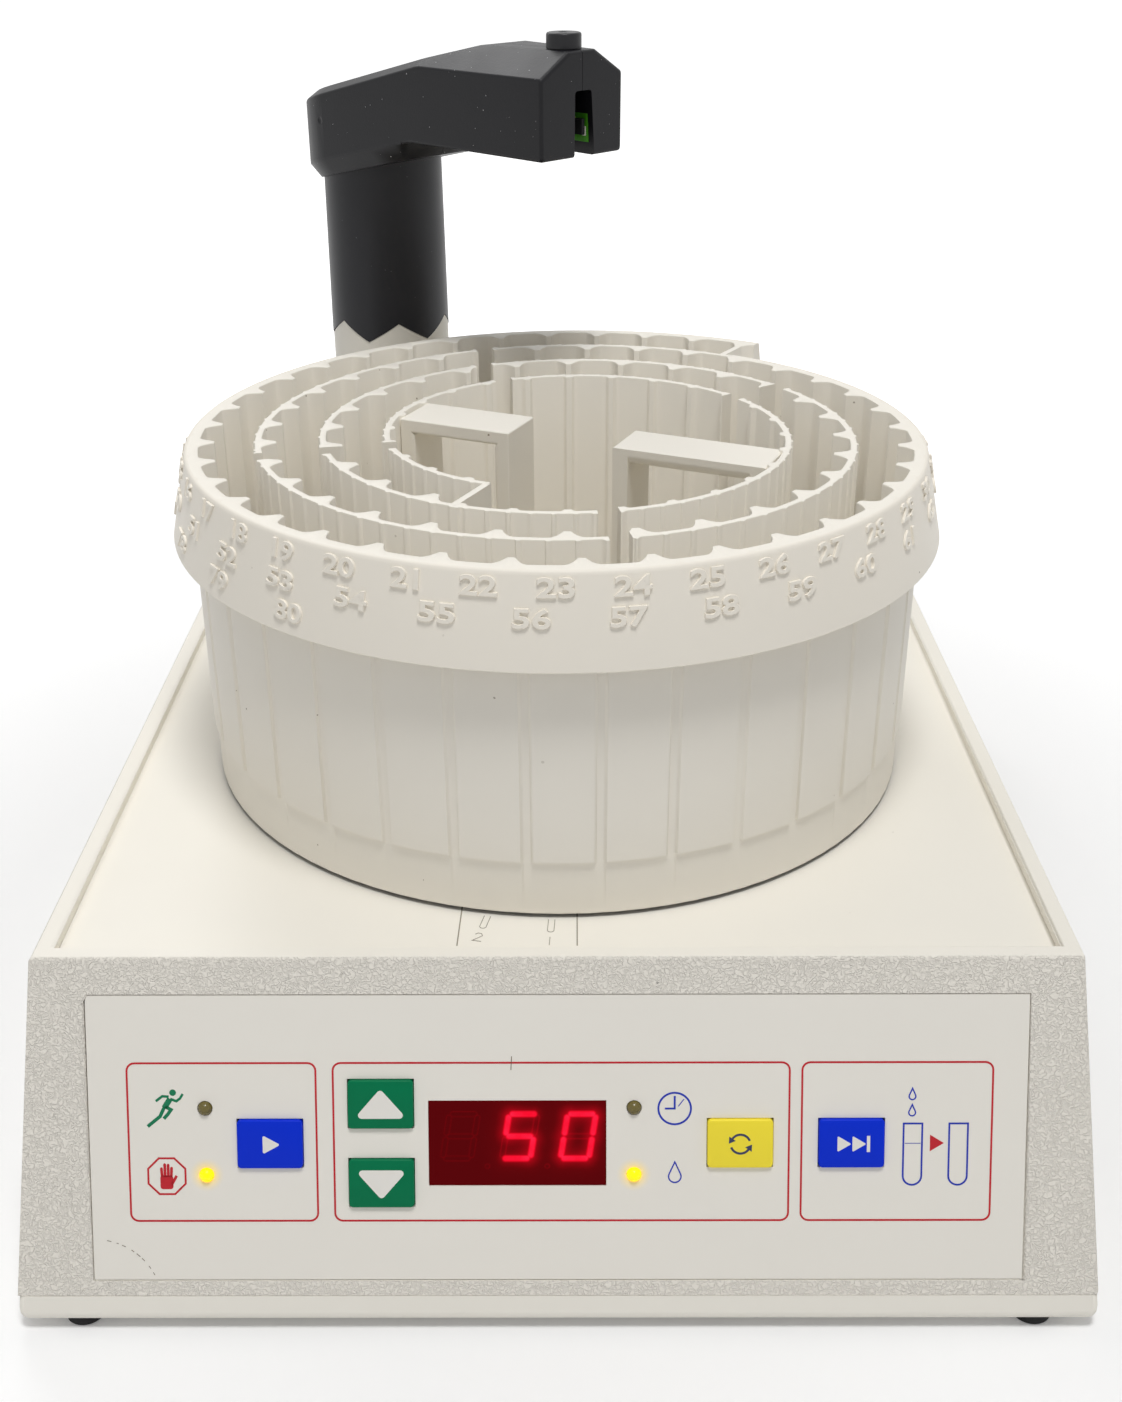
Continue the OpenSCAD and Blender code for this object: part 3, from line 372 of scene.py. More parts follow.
# ---------------------------------------------------------------- feet and screws
# Four black rubber pads are held by a countersunk zinc-plated screw each. Four deeper screws beside them pull the
# casing down on the pan.
rubber = moulded("soft_rubber", (30, 30, 31), 0.8, bump=0.05, grain_scale=1400.0)
zinc = moulded("zinc_plate", (176, 178, 180), 0.35, bump=0.004, metallic=1.0, cloud=0.03, grain_scale=3000.0)
shape = welded("feet")
round_edges(shape, lambda edge: float(edge.verts[0].co.z < 0.1 * MM and edge.verts[1].co.z < 0.1 * MM))
feet = add_rounding(piece_of(shape, "rubber_feet", rubber), 0.5)
hand_over(feet, "base", "feet")


def finish_nodes(material, *names):
    """Gives CAD nodes that stay as they are a material"""
    for name in names:
        nodes[name].data.materials.clear()
        nodes[name].data.materials.append(material)


finish_nodes(zinc, "foot_screws", "casing_screws", "board_screws", "motor_screws", "transformer_screws",
             "housing_screws", "spindle_clip", "post_clip", "motor_shaft")


# ---------------------------------------------------------------- deck marks
# Fine lines moulded in the deck in front of the rack: two sector lines, and beside each of the first two tube places
# a small tube outline with its number. They are thin dark strips whose colour is painted shade, for the shade in the
# grooves.
def bridged(shape, rings, capped=True):
    """Joins rings of vertices, one after the other, and closes the first and the last"""
    for a, b in zip(rings, rings[1:]):
        for i in range(len(a)):
            j = (i + 1) % len(a)
            shape.faces.new((a[i], a[j], b[j], b[i]))
    if capped:
        shape.faces.new(rings[0][::-1])
        shape.faces.new(rings[-1])


class Drawing:
    """Flat strokes and fills in a plane, all between the same two heights, in millimetres"""
    def __init__(self, low, high):
        self.shape, self.low, self.high = bmesh.new(), low, high

    def line(self, points, width, closed=False):
        """Adds a strip with mitred corners that follows the points"""
        rails, count = [], len(points)
        for i, point in enumerate(points):
            here = Vector(point)
            before = (here - Vector(points[i - 1])).normalized() if i or closed else None
            after = (Vector(points[(i + 1) % count]) - here).normalized() if i < count - 1 or closed else before
            before = before or after
            along = (before + after).normalized()
            side = Vector((-along.y, along.x))
            reach = width / 2 / max(0.4, side.dot(Vector((-before.y, before.x))))
            rails.append((here + side * reach, here - side * reach))
        rings = [[self.shape.verts.new((p.x, p.y, z))
                  for p, z in ((a, self.low), (a, self.high), (b, self.high), (b, self.low))] for a, b in rails]
        bridged(self.shape, rings + rings[:1] if closed else rings, capped=not closed)

    def fill(self, outline):
        """Adds a plate with a given outline"""
        bridged(self.shape, [[self.shape.verts.new((x, y, z)) for x, y in outline] for z in (self.low, self.high)])

    def piece(self, name, place, ink, body, slot):
        """Turns the drawing's faces outward, puts it in place and hands it over"""
        bmesh.ops.recalc_face_normals(self.shape, faces=self.shape.faces)
        self.shape.transform(place)
        hand_over(piece_of(self.shape, name, ink), body)


def arc(x, y, radius, first, last, steps=12):
    """Points along an arc between two angles in degrees"""
    angles = [math.radians(first + (last - first) * i / steps) for i in range(steps + 1)]
    return [(x + radius * math.cos(a), y + radius * math.sin(a)) for a in angles]


def toward_rack(x, y, along, across):
    """A point near a deck mark, in the mark's own axes: along points at the rack's axis"""
    axis = (Vector((RACK_X, RACK_Y)) - Vector((x, y))).normalized()
    return (x + axis.x * along + axis.y * across, y + axis.y * along - axis.x * across)


DECK_Z = 75.8
RACK_X, RACK_Y = 3.3, TOP_Y + 108.8
TUBE_MARK = [(4.8, -0.72), (0.5, -0.72), (0.1, -0.4), (0, 0), (0.1, 0.4), (0.5, 0.72), (4.8, 0.72)]
ONE_MARK = [(-1.9, 0), (-4.9, 0)]
TWO_MARK = [(-2.5, -0.9), (-1.95, -0.4), (-2.0, 0.4), (-2.8, 0.8), (-4.9, -1.0), (-4.9, 1.0)]
# painted shade: the lines' dark colour stands for the shade in their fine grooves
painted_groove_shade = moulded("painted_groove_shade", (150, 143, 130), 0.7, cloud=0.08, cloud_scale=400.0)
SECTOR_LINES = ([(-21.3, -100.0), (-21.82, -122.7)], [(4.5, -103.0), (4.4, -122.7)])
marks = Drawing(DECK_Z - 0.02, DECK_Z + 0.07)
for points in SECTOR_LINES:
    marks.line(points, 0.28)
for x, y, number in ((-16.6, -116.1, TWO_MARK), (-1.45, -117.6, ONE_MARK)):
    for strokes in (TUBE_MARK, number):
        marks.line([toward_rack(x, y, *point) for point in strokes], 0.16)
marks.piece("deck_marks", Matrix.Scale(MM, 4), painted_groove_shade, "base", "casing_cream")

# ---------------------------------------------------------------- control panel plate
# A pale plate of printed polyester film on a stiff backing is let into the grained front. A painted glow, yellow in
# its colour and emission, lies round the lit lamps, and a long fine scratch runs across its lower left corner.
PLATE_MID, PLATE_Z = 40, -0.2
to_face = (Matrix.Scale(MM, 4) @ Matrix.Translation((0, TOP_Y, RIM_Z)) @ Matrix.Rotation(math.pi / 2 - LEAN, 4, "X")
           @ Matrix.Translation((0, -PLATE_MID, 0)))
LAMP_X, LIT_Y = (-75.7, 16.5), -8.1
HALO_REACH, HALO_FALL, HALO_TINT, HALO_GLOW = 3.9, 1.6, 1.3, 0.35
panel_white = moulded("panel_plate", (243, 239, 230), 0.42, bump=0.004, cloud=0.006, speck_share=0.002,
                      grain_scale=2000.0)
tree = panel_white.node_tree
shader = tree.nodes["Principled BSDF"]
where = tree.nodes.new("ShaderNodeTexCoord").outputs["Object"]
# painted light: round each lit lamp the plate's colour is tinted yellow and made to glow
halo = 0.0
for x in LAMP_X:
    gap = tree.nodes.new("ShaderNodeVectorMath")
    gap.operation = "DISTANCE"
    tree.links.new(where, gap.inputs[0])
    gap.inputs[1].default_value = to_face @ Vector((x, LIT_Y, PLATE_Z))
    near = Field(tree, gap.outputs["Value"]).math("MULTIPLY_ADD", -1 / (HALO_REACH * MM), 1.0, clamp=True)
    halo = near.math("POWER", HALO_FALL) + halo
for amount, lamp_colour, socket in ((HALO_TINT, (255, 218, 60), "Base Color"),
                                    (HALO_GLOW, (255, 215, 40), "Emission Color")):
    painted_glow = tree.nodes.new("ShaderNodeMix")
    painted_glow.data_type = "RGBA"
    halo.math("MULTIPLY", amount, clamp=True).feeds(painted_glow.inputs["Factor"])
    painted_glow.inputs[6].default_value, painted_glow.inputs[7].default_value = linear(0, 0, 0), linear(*lamp_colour)
    for link in list(shader.inputs[socket].links):
        tree.links.new(link.from_socket, painted_glow.inputs[6])
    tree.links.new(painted_glow.outputs[2], shader.inputs[socket])
shader.inputs["Emission Strength"].default_value = 1.0
shape = welded("front_panel")
round_edges(shape, lambda edge: float(edge.calc_length() > LONG_EDGE))
plate = add_rounding(piece_of(shape, "panel_plate", panel_white), 0.12, 1)
hand_over(plate, "base", "front_panel")

grime = moulded("grime", (105, 88, 70), 0.7, cloud=0.1, cloud_scale=600.0)
scratches = Drawing(PLATE_Z - 0.02, PLATE_Z + 0.03)
SCRATCH_X, SCRATCH_Y, SCRATCH_R = -100.4, -36.8, 14.2
chance = random.Random(4)
for first in range(25, 80, 7):
    bite = arc(SCRATCH_X, SCRATCH_Y, SCRATCH_R, first + chance.uniform(0, 2), first + chance.uniform(3, 6), 4)
    if chance.random() > 0.2:
        scratches.line(bite, 0.13)
scratches.high = PLATE_Z + 0.06
scratches.line([(-9.9, 15.2), (-9.75, 18.2)], 0.16)
scratches.piece("panel_scratches", to_face, grime, "base", "panel_print")

# ---------------------------------------------------------------- panel print
# Screen-printed legends on the plate: three red frames, and plain pictograms in green, red and blue for run, stop,
# time, drop count and the change to the next tube.
def rounded_corners(corners, radius, steps=5):
    """Outline of a convex polygon, given counter-clockwise, with round corners"""
    points = []
    for i, corner in enumerate(corners):
        here = Vector(corner)
        to_last, to_next = ((Vector(corners[j % len(corners)]) - here).normalized() for j in (i - 1, i + 1))
        half = to_last.angle(to_next) / 2
        centre = here + (to_last + to_next).normalized() * radius / math.sin(half)
        first, turn = math.degrees(math.atan2(to_last.x, -to_last.y)), 180 - 2 * math.degrees(half)
        points += arc(centre.x, centre.y, radius, first, first + turn, steps)
    return points


def box_corners(left, right, bottom, top):
    """The corners of a box, counter-clockwise"""
    return [(left, bottom), (right, bottom), (right, top), (left, top)]


def drop_outline(x, top, height, radius):
    """A falling drop: a pointed top on a round belly"""
    reach = math.degrees(math.acos(radius / (height - radius)))
    return [(x, top)] + arc(x, top - height + radius, radius, 90 + reach, 450 - reach, 16)


def shifted(points, x, y):
    """Points moved by x and y"""
    return [(x + px, y + py) for px, py in points]


PRINT = (PLATE_Z - 0.02, PLATE_Z + 0.035)
INK_CLOUD = dict(cloud=0.05, cloud_scale=300.0)
red_ink = moulded("red_ink", (196, 32, 44), 0.5, **INK_CLOUD)
green_ink = moulded("green_ink", (10, 120, 80), 0.5, **INK_CLOUD)
blue_ink = moulded("blue_ink", (32, 56, 178), 0.5, **INK_CLOUD)

# red: the frames, the stop sign with its palm, fingers and thumb, and the arrow between the tubes
FRAME_LOW, FRAME_HIGH, FRAME_R, OUTLINE_W = -18.4, 16.8, 1.7, 0.42
STOP_X, STOP_Y = -84.3, -8.35
red = Drawing(*PRINT)
for left, end in ((-92.3, -51.8), (-48.1, 49.8), (52.5, 93.3)):
    red.line(rounded_corners(box_corners(left, end, FRAME_LOW, FRAME_HIGH), FRAME_R), OUTLINE_W, closed=True)
red.line(arc(STOP_X, STOP_Y, 4.35, 22.5, 337.5, 7), OUTLINE_W, closed=True)
red.fill(shifted(rounded_corners(box_corners(-1.45, 1.35, -2.9, 0.2), 0.6), STOP_X, STOP_Y))
for offset, reach in ((-1.15, 1.7), (-0.42, 2.6), (0.32, 2.5), (1.04, 1.8)):
    finger = arc(offset, reach, 0.3, 0, 180, 6) + [(offset * 0.9 - 0.3, -0.2), (offset * 0.9 + 0.3, -0.2)]
    red.fill(shifted(finger, STOP_X, STOP_Y))
red.line(shifted([(1.0, -1.9), (2.1, 0.1)], STOP_X, STOP_Y), 0.6)
red.fill([(80.1, 0.7), (80.1, -3.0), (83.1, -1.15)])
red.piece("red_print", to_face, red_ink, "base", "panel_print")

# green: the runner, as a head and five limbs of different width
RUN_X, RUN_Y = -84.3, 6.7
LIMBS = ((1.25, [(1.15, 2.2), (0.5, 1.2), (-0.1, 0.2)]), (0.55, [(1.2, 2.2), (2.5, 1.7), (3.3, 2.3), (3.9, 3.3)]),
         (0.55, [(0.9, 2.7), (-0.5, 2.8), (-1.9, 1.7)]), (0.75, [(-0.1, 0.4), (-1.1, -1.7), (-3.8, -3.9)]),
         (0.75, [(0.1, 0.5), (1.3, -0.2), (0.6, -1.2), (-0.3, -2.2)]))
green = Drawing(*PRINT)
green.fill(arc(RUN_X + 1.75, RUN_Y + 3.6, 0.72, 0, 345, 23))
for width, limb in LIMBS:
    green.line(shifted(limb, RUN_X, RUN_Y), width)
green.piece("green_print", to_face, green_ink, "base", "panel_print")

# blue: the clock with its hands, three drops and two tubes, the left one filled to a level
CLOCK_X, CLOCK_Y = 25.2, 6.6
blue = Drawing(*PRINT)
blue.line(arc(CLOCK_X, CLOCK_Y, 3.5, 0, 350, 35), OUTLINE_W, closed=True)
for width, hand in ((0.42, [(0, -0.2), (0, 2.8)]), (0.4, [(-0.21, 0), (-2.1, 0)]), (0.2, [(0.8, 0.5), (2.0, 2.1)])):
    blue.line(shifted(hand, CLOCK_X, CLOCK_Y), width)
for drop in ((25.3, -5.3, 4.6, 1.35), (76.15, 11.0, 2.5, 0.72), (76.15, 7.4, 2.5, 0.72)):
    blue.line(drop_outline(*drop), 0.3, closed=True)
TUBE_HALF, TUBE_LOW, TUBE_TOP = 2.0, -8.5, 3.2
for x in (76.4, 86.2):
    tube = [(x + TUBE_HALF, TUBE_TOP), (x - TUBE_HALF, TUBE_TOP)] + arc(x, TUBE_LOW, TUBE_HALF, 180, 360, 12)
    blue.line(tube, 0.4, closed=True)
blue.line([(74.7, -1.2), (78.1, -1.2)], 0.14)
blue.piece("blue_print", to_face, blue_ink, "base", "panel_print")

# ---------------------------------------------------------------- keys
# Five key caps in coloured film over snap domes, each with a soft top edge: blue to run and to move on a tube, green
# up and down, yellow for the mode. A plain sign on each shows what it does.
KEY_W, KEY_H, KEY_TOP, KEY_FOOT = 14.1, 10.7, 0.7, -1.6
SIGN = (KEY_TOP - 0.05, KEY_TOP + 0.02)
ARROW_W, ARROW_H, TURN_R = 11.4, 6.6, 2.1


def key_cap(x, y, radius=0.9, soft=0.35):
    """A cap with rounded corners and a soft top edge, on the panel"""
    shape, rings = bmesh.new(), []
    quarter = [math.radians(d) for d in (0, 30, 60, 90)]
    levels = [(soft * (1 - math.cos(a)), KEY_TOP - soft * (1 - math.sin(a))) for a in quarter]
    for inset, z in [(0, KEY_FOOT)] + levels:
        w, h = KEY_W / 2 - inset, KEY_H / 2 - inset
        outline = rounded_corners(box_corners(x - w, x + w, y - h, y + h), radius - inset)
        rings.append([shape.verts.new((px, py, z)) for px, py in outline])
    bridged(shape, rings)
    shape.transform(to_face)
    return shape


def arrow_sign(sign, x, y, up):
    """A broad triangle that points up (1) or down (-1)"""
    corners = [(-ARROW_W / 2, -ARROW_H / 2), (ARROW_W / 2, -ARROW_H / 2), (0, ARROW_H / 2)]
    corners = [(px, py * up + 0.25 * up) for px, py in corners][::up]
    sign.fill(rounded_corners(shifted(corners, x, y), 0.75))


def run_sign(sign, x, y):
    """A triangle that points right"""
    sign.fill(rounded_corners(shifted([(-1.5, -2.1), (2.3, 0), (-1.5, 2.1)], x, y), 0.3))


def next_sign(sign, x, y):
    """Two triangles that point at a bar"""
    for start in (-3.1, 0.1):
        sign.fill(rounded_corners(shifted([(start, -1.8), (start + 3.0, 0), (start, 1.8)], x, y), 0.2))
    sign.fill(shifted(box_corners(3.2, 3.9, -1.8, 1.8), x, y))


def mode_sign(sign, x, y):
    """Two arrows that follow each other round a circle"""
    for start in (20, 200):
        sign.line(arc(x, y, TURN_R, start, start + 125), 0.5)
        a = math.radians(start + 125)
        tip, out = Vector((-math.sin(a), math.cos(a))), Vector((math.cos(a), math.sin(a)))
        head = (out * (TURN_R + 0.85), out * TURN_R + tip * 1.35, out * (TURN_R - 0.85))
        sign.fill(shifted(head, x, y))


def film(name, colour, **marks):
    return moulded(name, colour, 0.4, bump=0.006, specular=0.1, speck_share=0.0, **marks)


key_blue = film("blue_film", (8, 50, 216), cloud=0.01)
key_green = film("green_film", (0, 118, 76), cloud=0.05, cloud_scale=160.0)
key_yellow = moulded("yellow_film", (255, 234, 64), 0.4, bump=0.006, specular=0.2, cloud=0.01, speck_share=0.0)
sign_white = moulded("sign_white", (240, 237, 230), 0.45, cloud=0.01)
sign_dark = moulded("sign_dark", (52, 58, 92), 0.45, cloud=0.02)
for key, x, y, cap_film, colour, draw, ink in (
        ("run", -61.8, -1.0, key_blue, "blue", run_sign, sign_white),
        ("up", -37.9, 7.8, key_green, "green", lambda sign, x, y: arrow_sign(sign, x, y, 1), sign_white),
        ("down", -37.9, -9.8, key_green, "green", lambda sign, x, y: arrow_sign(sign, x, y, -1), sign_white),
        ("mode", 39.3, -1.0, key_yellow, "yellow", mode_sign, sign_dark),
        ("advance", 63.2, -1.0, key_blue, "blue", next_sign, sign_white)):
    node, body, slot = key + "_key", key + "_button", "key_" + colour
    hand_over(piece_of(key_cap(x, y), node + "_cap", cap_film), body, node)
    sign = Drawing(*SIGN)
    draw(sign, x, y)
    sign.piece(node + "_sign", to_face, ink, body, slot)

# ---------------------------------------------------------------- display
# A red filter of cast acrylic is cemented in the plate. Three seven-segment digits shine through it: the first is dark,
# the others show 50, with a soft glow round the lit segments and a faint outline of the dark ones.
LENS_W, LENS_H, LENS_X, LENS_Y, LENS_Z = 38.1, 18.8, -8.6, -1.1, -0.4
DIGIT_X, DIGIT_Y, DIGIT_SLANT = (-20.9, -8.1, 4.5), 0.4, math.tan(math.radians(9))
SEGMENT_W, SEGMENT_H = 3.05, 4.95
SEGMENT_TRIM, CELL, LENS_T = 0.75, 0.2, 1.3
SEGMENTS = {"a": ((-1, 2), (1, 2)), "b": ((1, 2), (1, 1)), "c": ((1, 1), (1, 0)), "d": ((-1, 0), (1, 0)),
            "e": ((-1, 1), (-1, 0)), "f": ((-1, 2), (-1, 1)), "g": ((-1, 1), (1, 1))}
# the light in millimetres from a segment's middle line: a core, a halo, and the faint outline of a dark segment
CORE_EDGE, CORE_SOFT, HALO_EDGE, HALO_FADE, HALO_SHARE = 0.98, 0.5, 0.5, 1.25, 0.22
GHOST_EDGE, GHOST_W, DOT_R, BARE_LIGHT, GHOST_LIGHT = 0.55, 0.22, 0.5, 0.06, 0.10


def segment_ends(digit, letter):
    """The two ends of a segment's middle line, in the panel's plane"""
    ends = [Vector((x * SEGMENT_W, (y - 1) * SEGMENT_H)) for x, y in SEGMENTS[letter]]
    along = (ends[1] - ends[0]).normalized() * SEGMENT_TRIM
    ends = [ends[0] + along, ends[1] - along]
    return [Vector((DIGIT_X[digit] + p.x + p.y * DIGIT_SLANT, DIGIT_Y + p.y)) for p in ends]


def distance_to(point, ends):
    """How far a point is from a line between two ends"""
    along = ends[1] - ends[0]
    share = min(1.0, max(0.0, (point - ends[0]).dot(along) / along.length_squared))
    return (point - ends[0] - along * share).length


LIT = [(1, letter) for letter in "afgcd"] + [(2, letter) for letter in "abcdef"]
lit_lines = [segment_ends(*segment) for segment in LIT]
dark_lines = [segment_ends(digit, letter) for digit in (0, 1, 2) for letter in SEGMENTS if (digit, letter) not in LIT]
dots = [Vector((x, -6.3)) for x in (-15.1, -2.2)]


def lens_light(point):
    """How bright the filter looks at a point, 0 to 1"""
    near = sorted(distance_to(point, line) for line in lit_lines)[:3]
    core = min(1.0, max(0.0, (CORE_EDGE - near[0]) / CORE_SOFT))
    halo = sum(HALO_SHARE * math.exp(-max(0.0, d - HALO_EDGE) / HALO_FADE) for d in near)
    off_outline = [abs(distance_to(point, line) - GHOST_EDGE) for line in dark_lines]
    off_outline += [abs((point - dot).length - DOT_R) for dot in dots]
    ghost = max(0.0, 1 - min(off_outline) / GHOST_W)
    return max(core * 0.7 + halo * 0.5, BARE_LIGHT + GHOST_LIGHT * ghost + halo * 0.9)


def closed_up(shape):
    """Fills a shape's open ends and turns its faces outward"""
    bmesh.ops.holes_fill(shape, edges=[e for e in shape.edges if e.is_boundary])
    bmesh.ops.recalc_face_normals(shape, faces=shape.faces)


shape = bmesh.new()
glow_layer = shape.verts.layers.float.new("glow")
columns, rows = int(LENS_W / CELL), int(LENS_H / CELL)
top = []
for i in range(columns + 1):
    for j in range(rows + 1):
        point = Vector((LENS_X + LENS_W * (i / columns - 0.5), LENS_Y + LENS_H * (j / rows - 0.5)))
        vert = shape.verts.new((point.x, point.y, LENS_Z))
        vert[glow_layer] = lens_light(point)
        top.append(vert)
for i in range(columns):
    for j in range(rows):
        a = i * (rows + 1) + j
        shape.faces.new((top[a], top[a + rows + 1], top[a + rows + 2], top[a + 1]))
walls = bmesh.ops.extrude_edge_only(shape, edges=[e for e in shape.edges if e.is_boundary])
lower = [v for v in walls["geom"] if isinstance(v, bmesh.types.BMVert)]
bmesh.ops.translate(shape, verts=lower, vec=(0, 0, -LENS_T))
closed_up(shape)
shape.transform(to_face)

lens_red = bpy.data.materials.new("display_filter")
lens_red.use_nodes = True
tree = lens_red.node_tree
shader = tree.nodes["Principled BSDF"]
shader.inputs["Base Color"].default_value = linear(34, 0, 2)
shader.inputs["Roughness"].default_value = 0.3
shader.inputs["Specular IOR Level"].default_value = 0.03
light_map = tree.nodes.new("ShaderNodeAttribute")
light_map.attribute_name = "glow"
ramp = tree.nodes.new("ShaderNodeValToRGB")
stops = ((0.0, (66, 0, 2)), (0.12, (92, 0, 3)), (0.45, (190, 2, 22)), (0.8, (250, 10, 45)), (1.0, (255, 45, 85)))
for position, colour in stops[1:-1]:
    ramp.color_ramp.elements.new(position)
for element, (position, colour) in zip(ramp.color_ramp.elements, stops):
    element.position, element.color = position, linear(*colour)
grain = noise_field(tree, tree.nodes.new("ShaderNodeTexCoord").outputs["Object"], 700.0, 2.0)
(Field(tree, light_map.outputs["Fac"]) * (grain * 0.12 + 0.94)).feeds(ramp.inputs[0])
tree.links.new(ramp.outputs[0], shader.inputs["Emission Color"])
shader.inputs["Emission Strength"].default_value = 1.0
hand_over(piece_of(shape, "display_filter", lens_red), "base", "display_lens")

# ---------------------------------------------------------------- lamps
# Four lamps with round tops of tinted epoxy are soldered to the board behind the panel and stand a little proud of
# its plate. The two lower ones are lit and shine yellow; the two upper ones are dark.
lamp_lit = moulded("lit_lamp", (255, 214, 0), 0.3, cloud=0.05, cloud_scale=500.0)
shader = lamp_lit.node_tree.nodes["Principled BSDF"]
shader.inputs["Emission Color"].default_value = linear(255, 214, 0)
shader.inputs["Emission Strength"].default_value = 0.75
lamp_off = moulded("dark_lamp", (104, 92, 34), 0.25, cloud=0.08, cloud_scale=500.0, specular=0.5)
finish_nodes(lamp_lit, "lit_lamps")
finish_nodes(lamp_off, "unlit_lamps")

# ---------------------------------------------------------------- rack walls
# The lift-off rack is one beige polystyrene moulding. Its walls wind inwards as one spiral; cusps on their inner side
# part the 80 tube places. The outer turn carries raised panels, the inner turns thin ribs and four slots for fingers.
RACK_R, RACK_PITCH, RACK_WALL, TUBE_PITCH = 99.1, 15.75, 1.6, 13.85
RACK_TOP, RACK_BOTTOM, FLOOR_Z, SLOT_Z = 160.0, 77.0, 81.0, 87.0
START, TURN = math.radians(56.2), 2 * math.pi
GROOVE_R, SPIRAL_B = RACK_R - RACK_PITCH / 2 - RACK_WALL / 2, RACK_PITCH / (2 * math.pi)
PANELS, PANEL_GAP_AT, PANEL_LEVEL = 35, math.radians(274), (90.4 - RACK_BOTTOM) / (RACK_TOP - RACK_BOTTOM)
PANEL_GAP_HALF, PANEL_FLANK, END_RIB_W, END_RIB_FLANK = 0.9, 0.35, 1.4, 0.3
RIBS_PER_TUBE, RIB_HALF, RIB_FLANK, CUSP_LAG = 2.5, 0.65, 0.26, 0.25
WHOLE_TUBES = 100        # keeps the count of tubes above zero before the first one


def tube_angle(place):
    """Angle of a place along the channel, counted in tubes"""
    return START + (GROOVE_R - math.sqrt(GROOVE_R ** 2 - 2 * SPIRAL_B * place * TUBE_PITCH)) / SPIRAL_B


def wall_radius(angle):
    return RACK_R - RACK_PITCH * (angle - START) / TURN


END = tube_angle(80.75)


def by_index(tree, index, values):
    """Picks one of several numbers by an index field"""
    node = tree.nodes.new("GeometryNodeIndexSwitch")
    node.data_type = "FLOAT"
    while len(node.index_switch_items) < len(values):
        node.index_switch_items.new()
    index.feeds(node.inputs["Index"])
    for i, value in enumerate(values):
        node.inputs[i + 1].default_value = value
    return Field(tree, node.outputs[0])


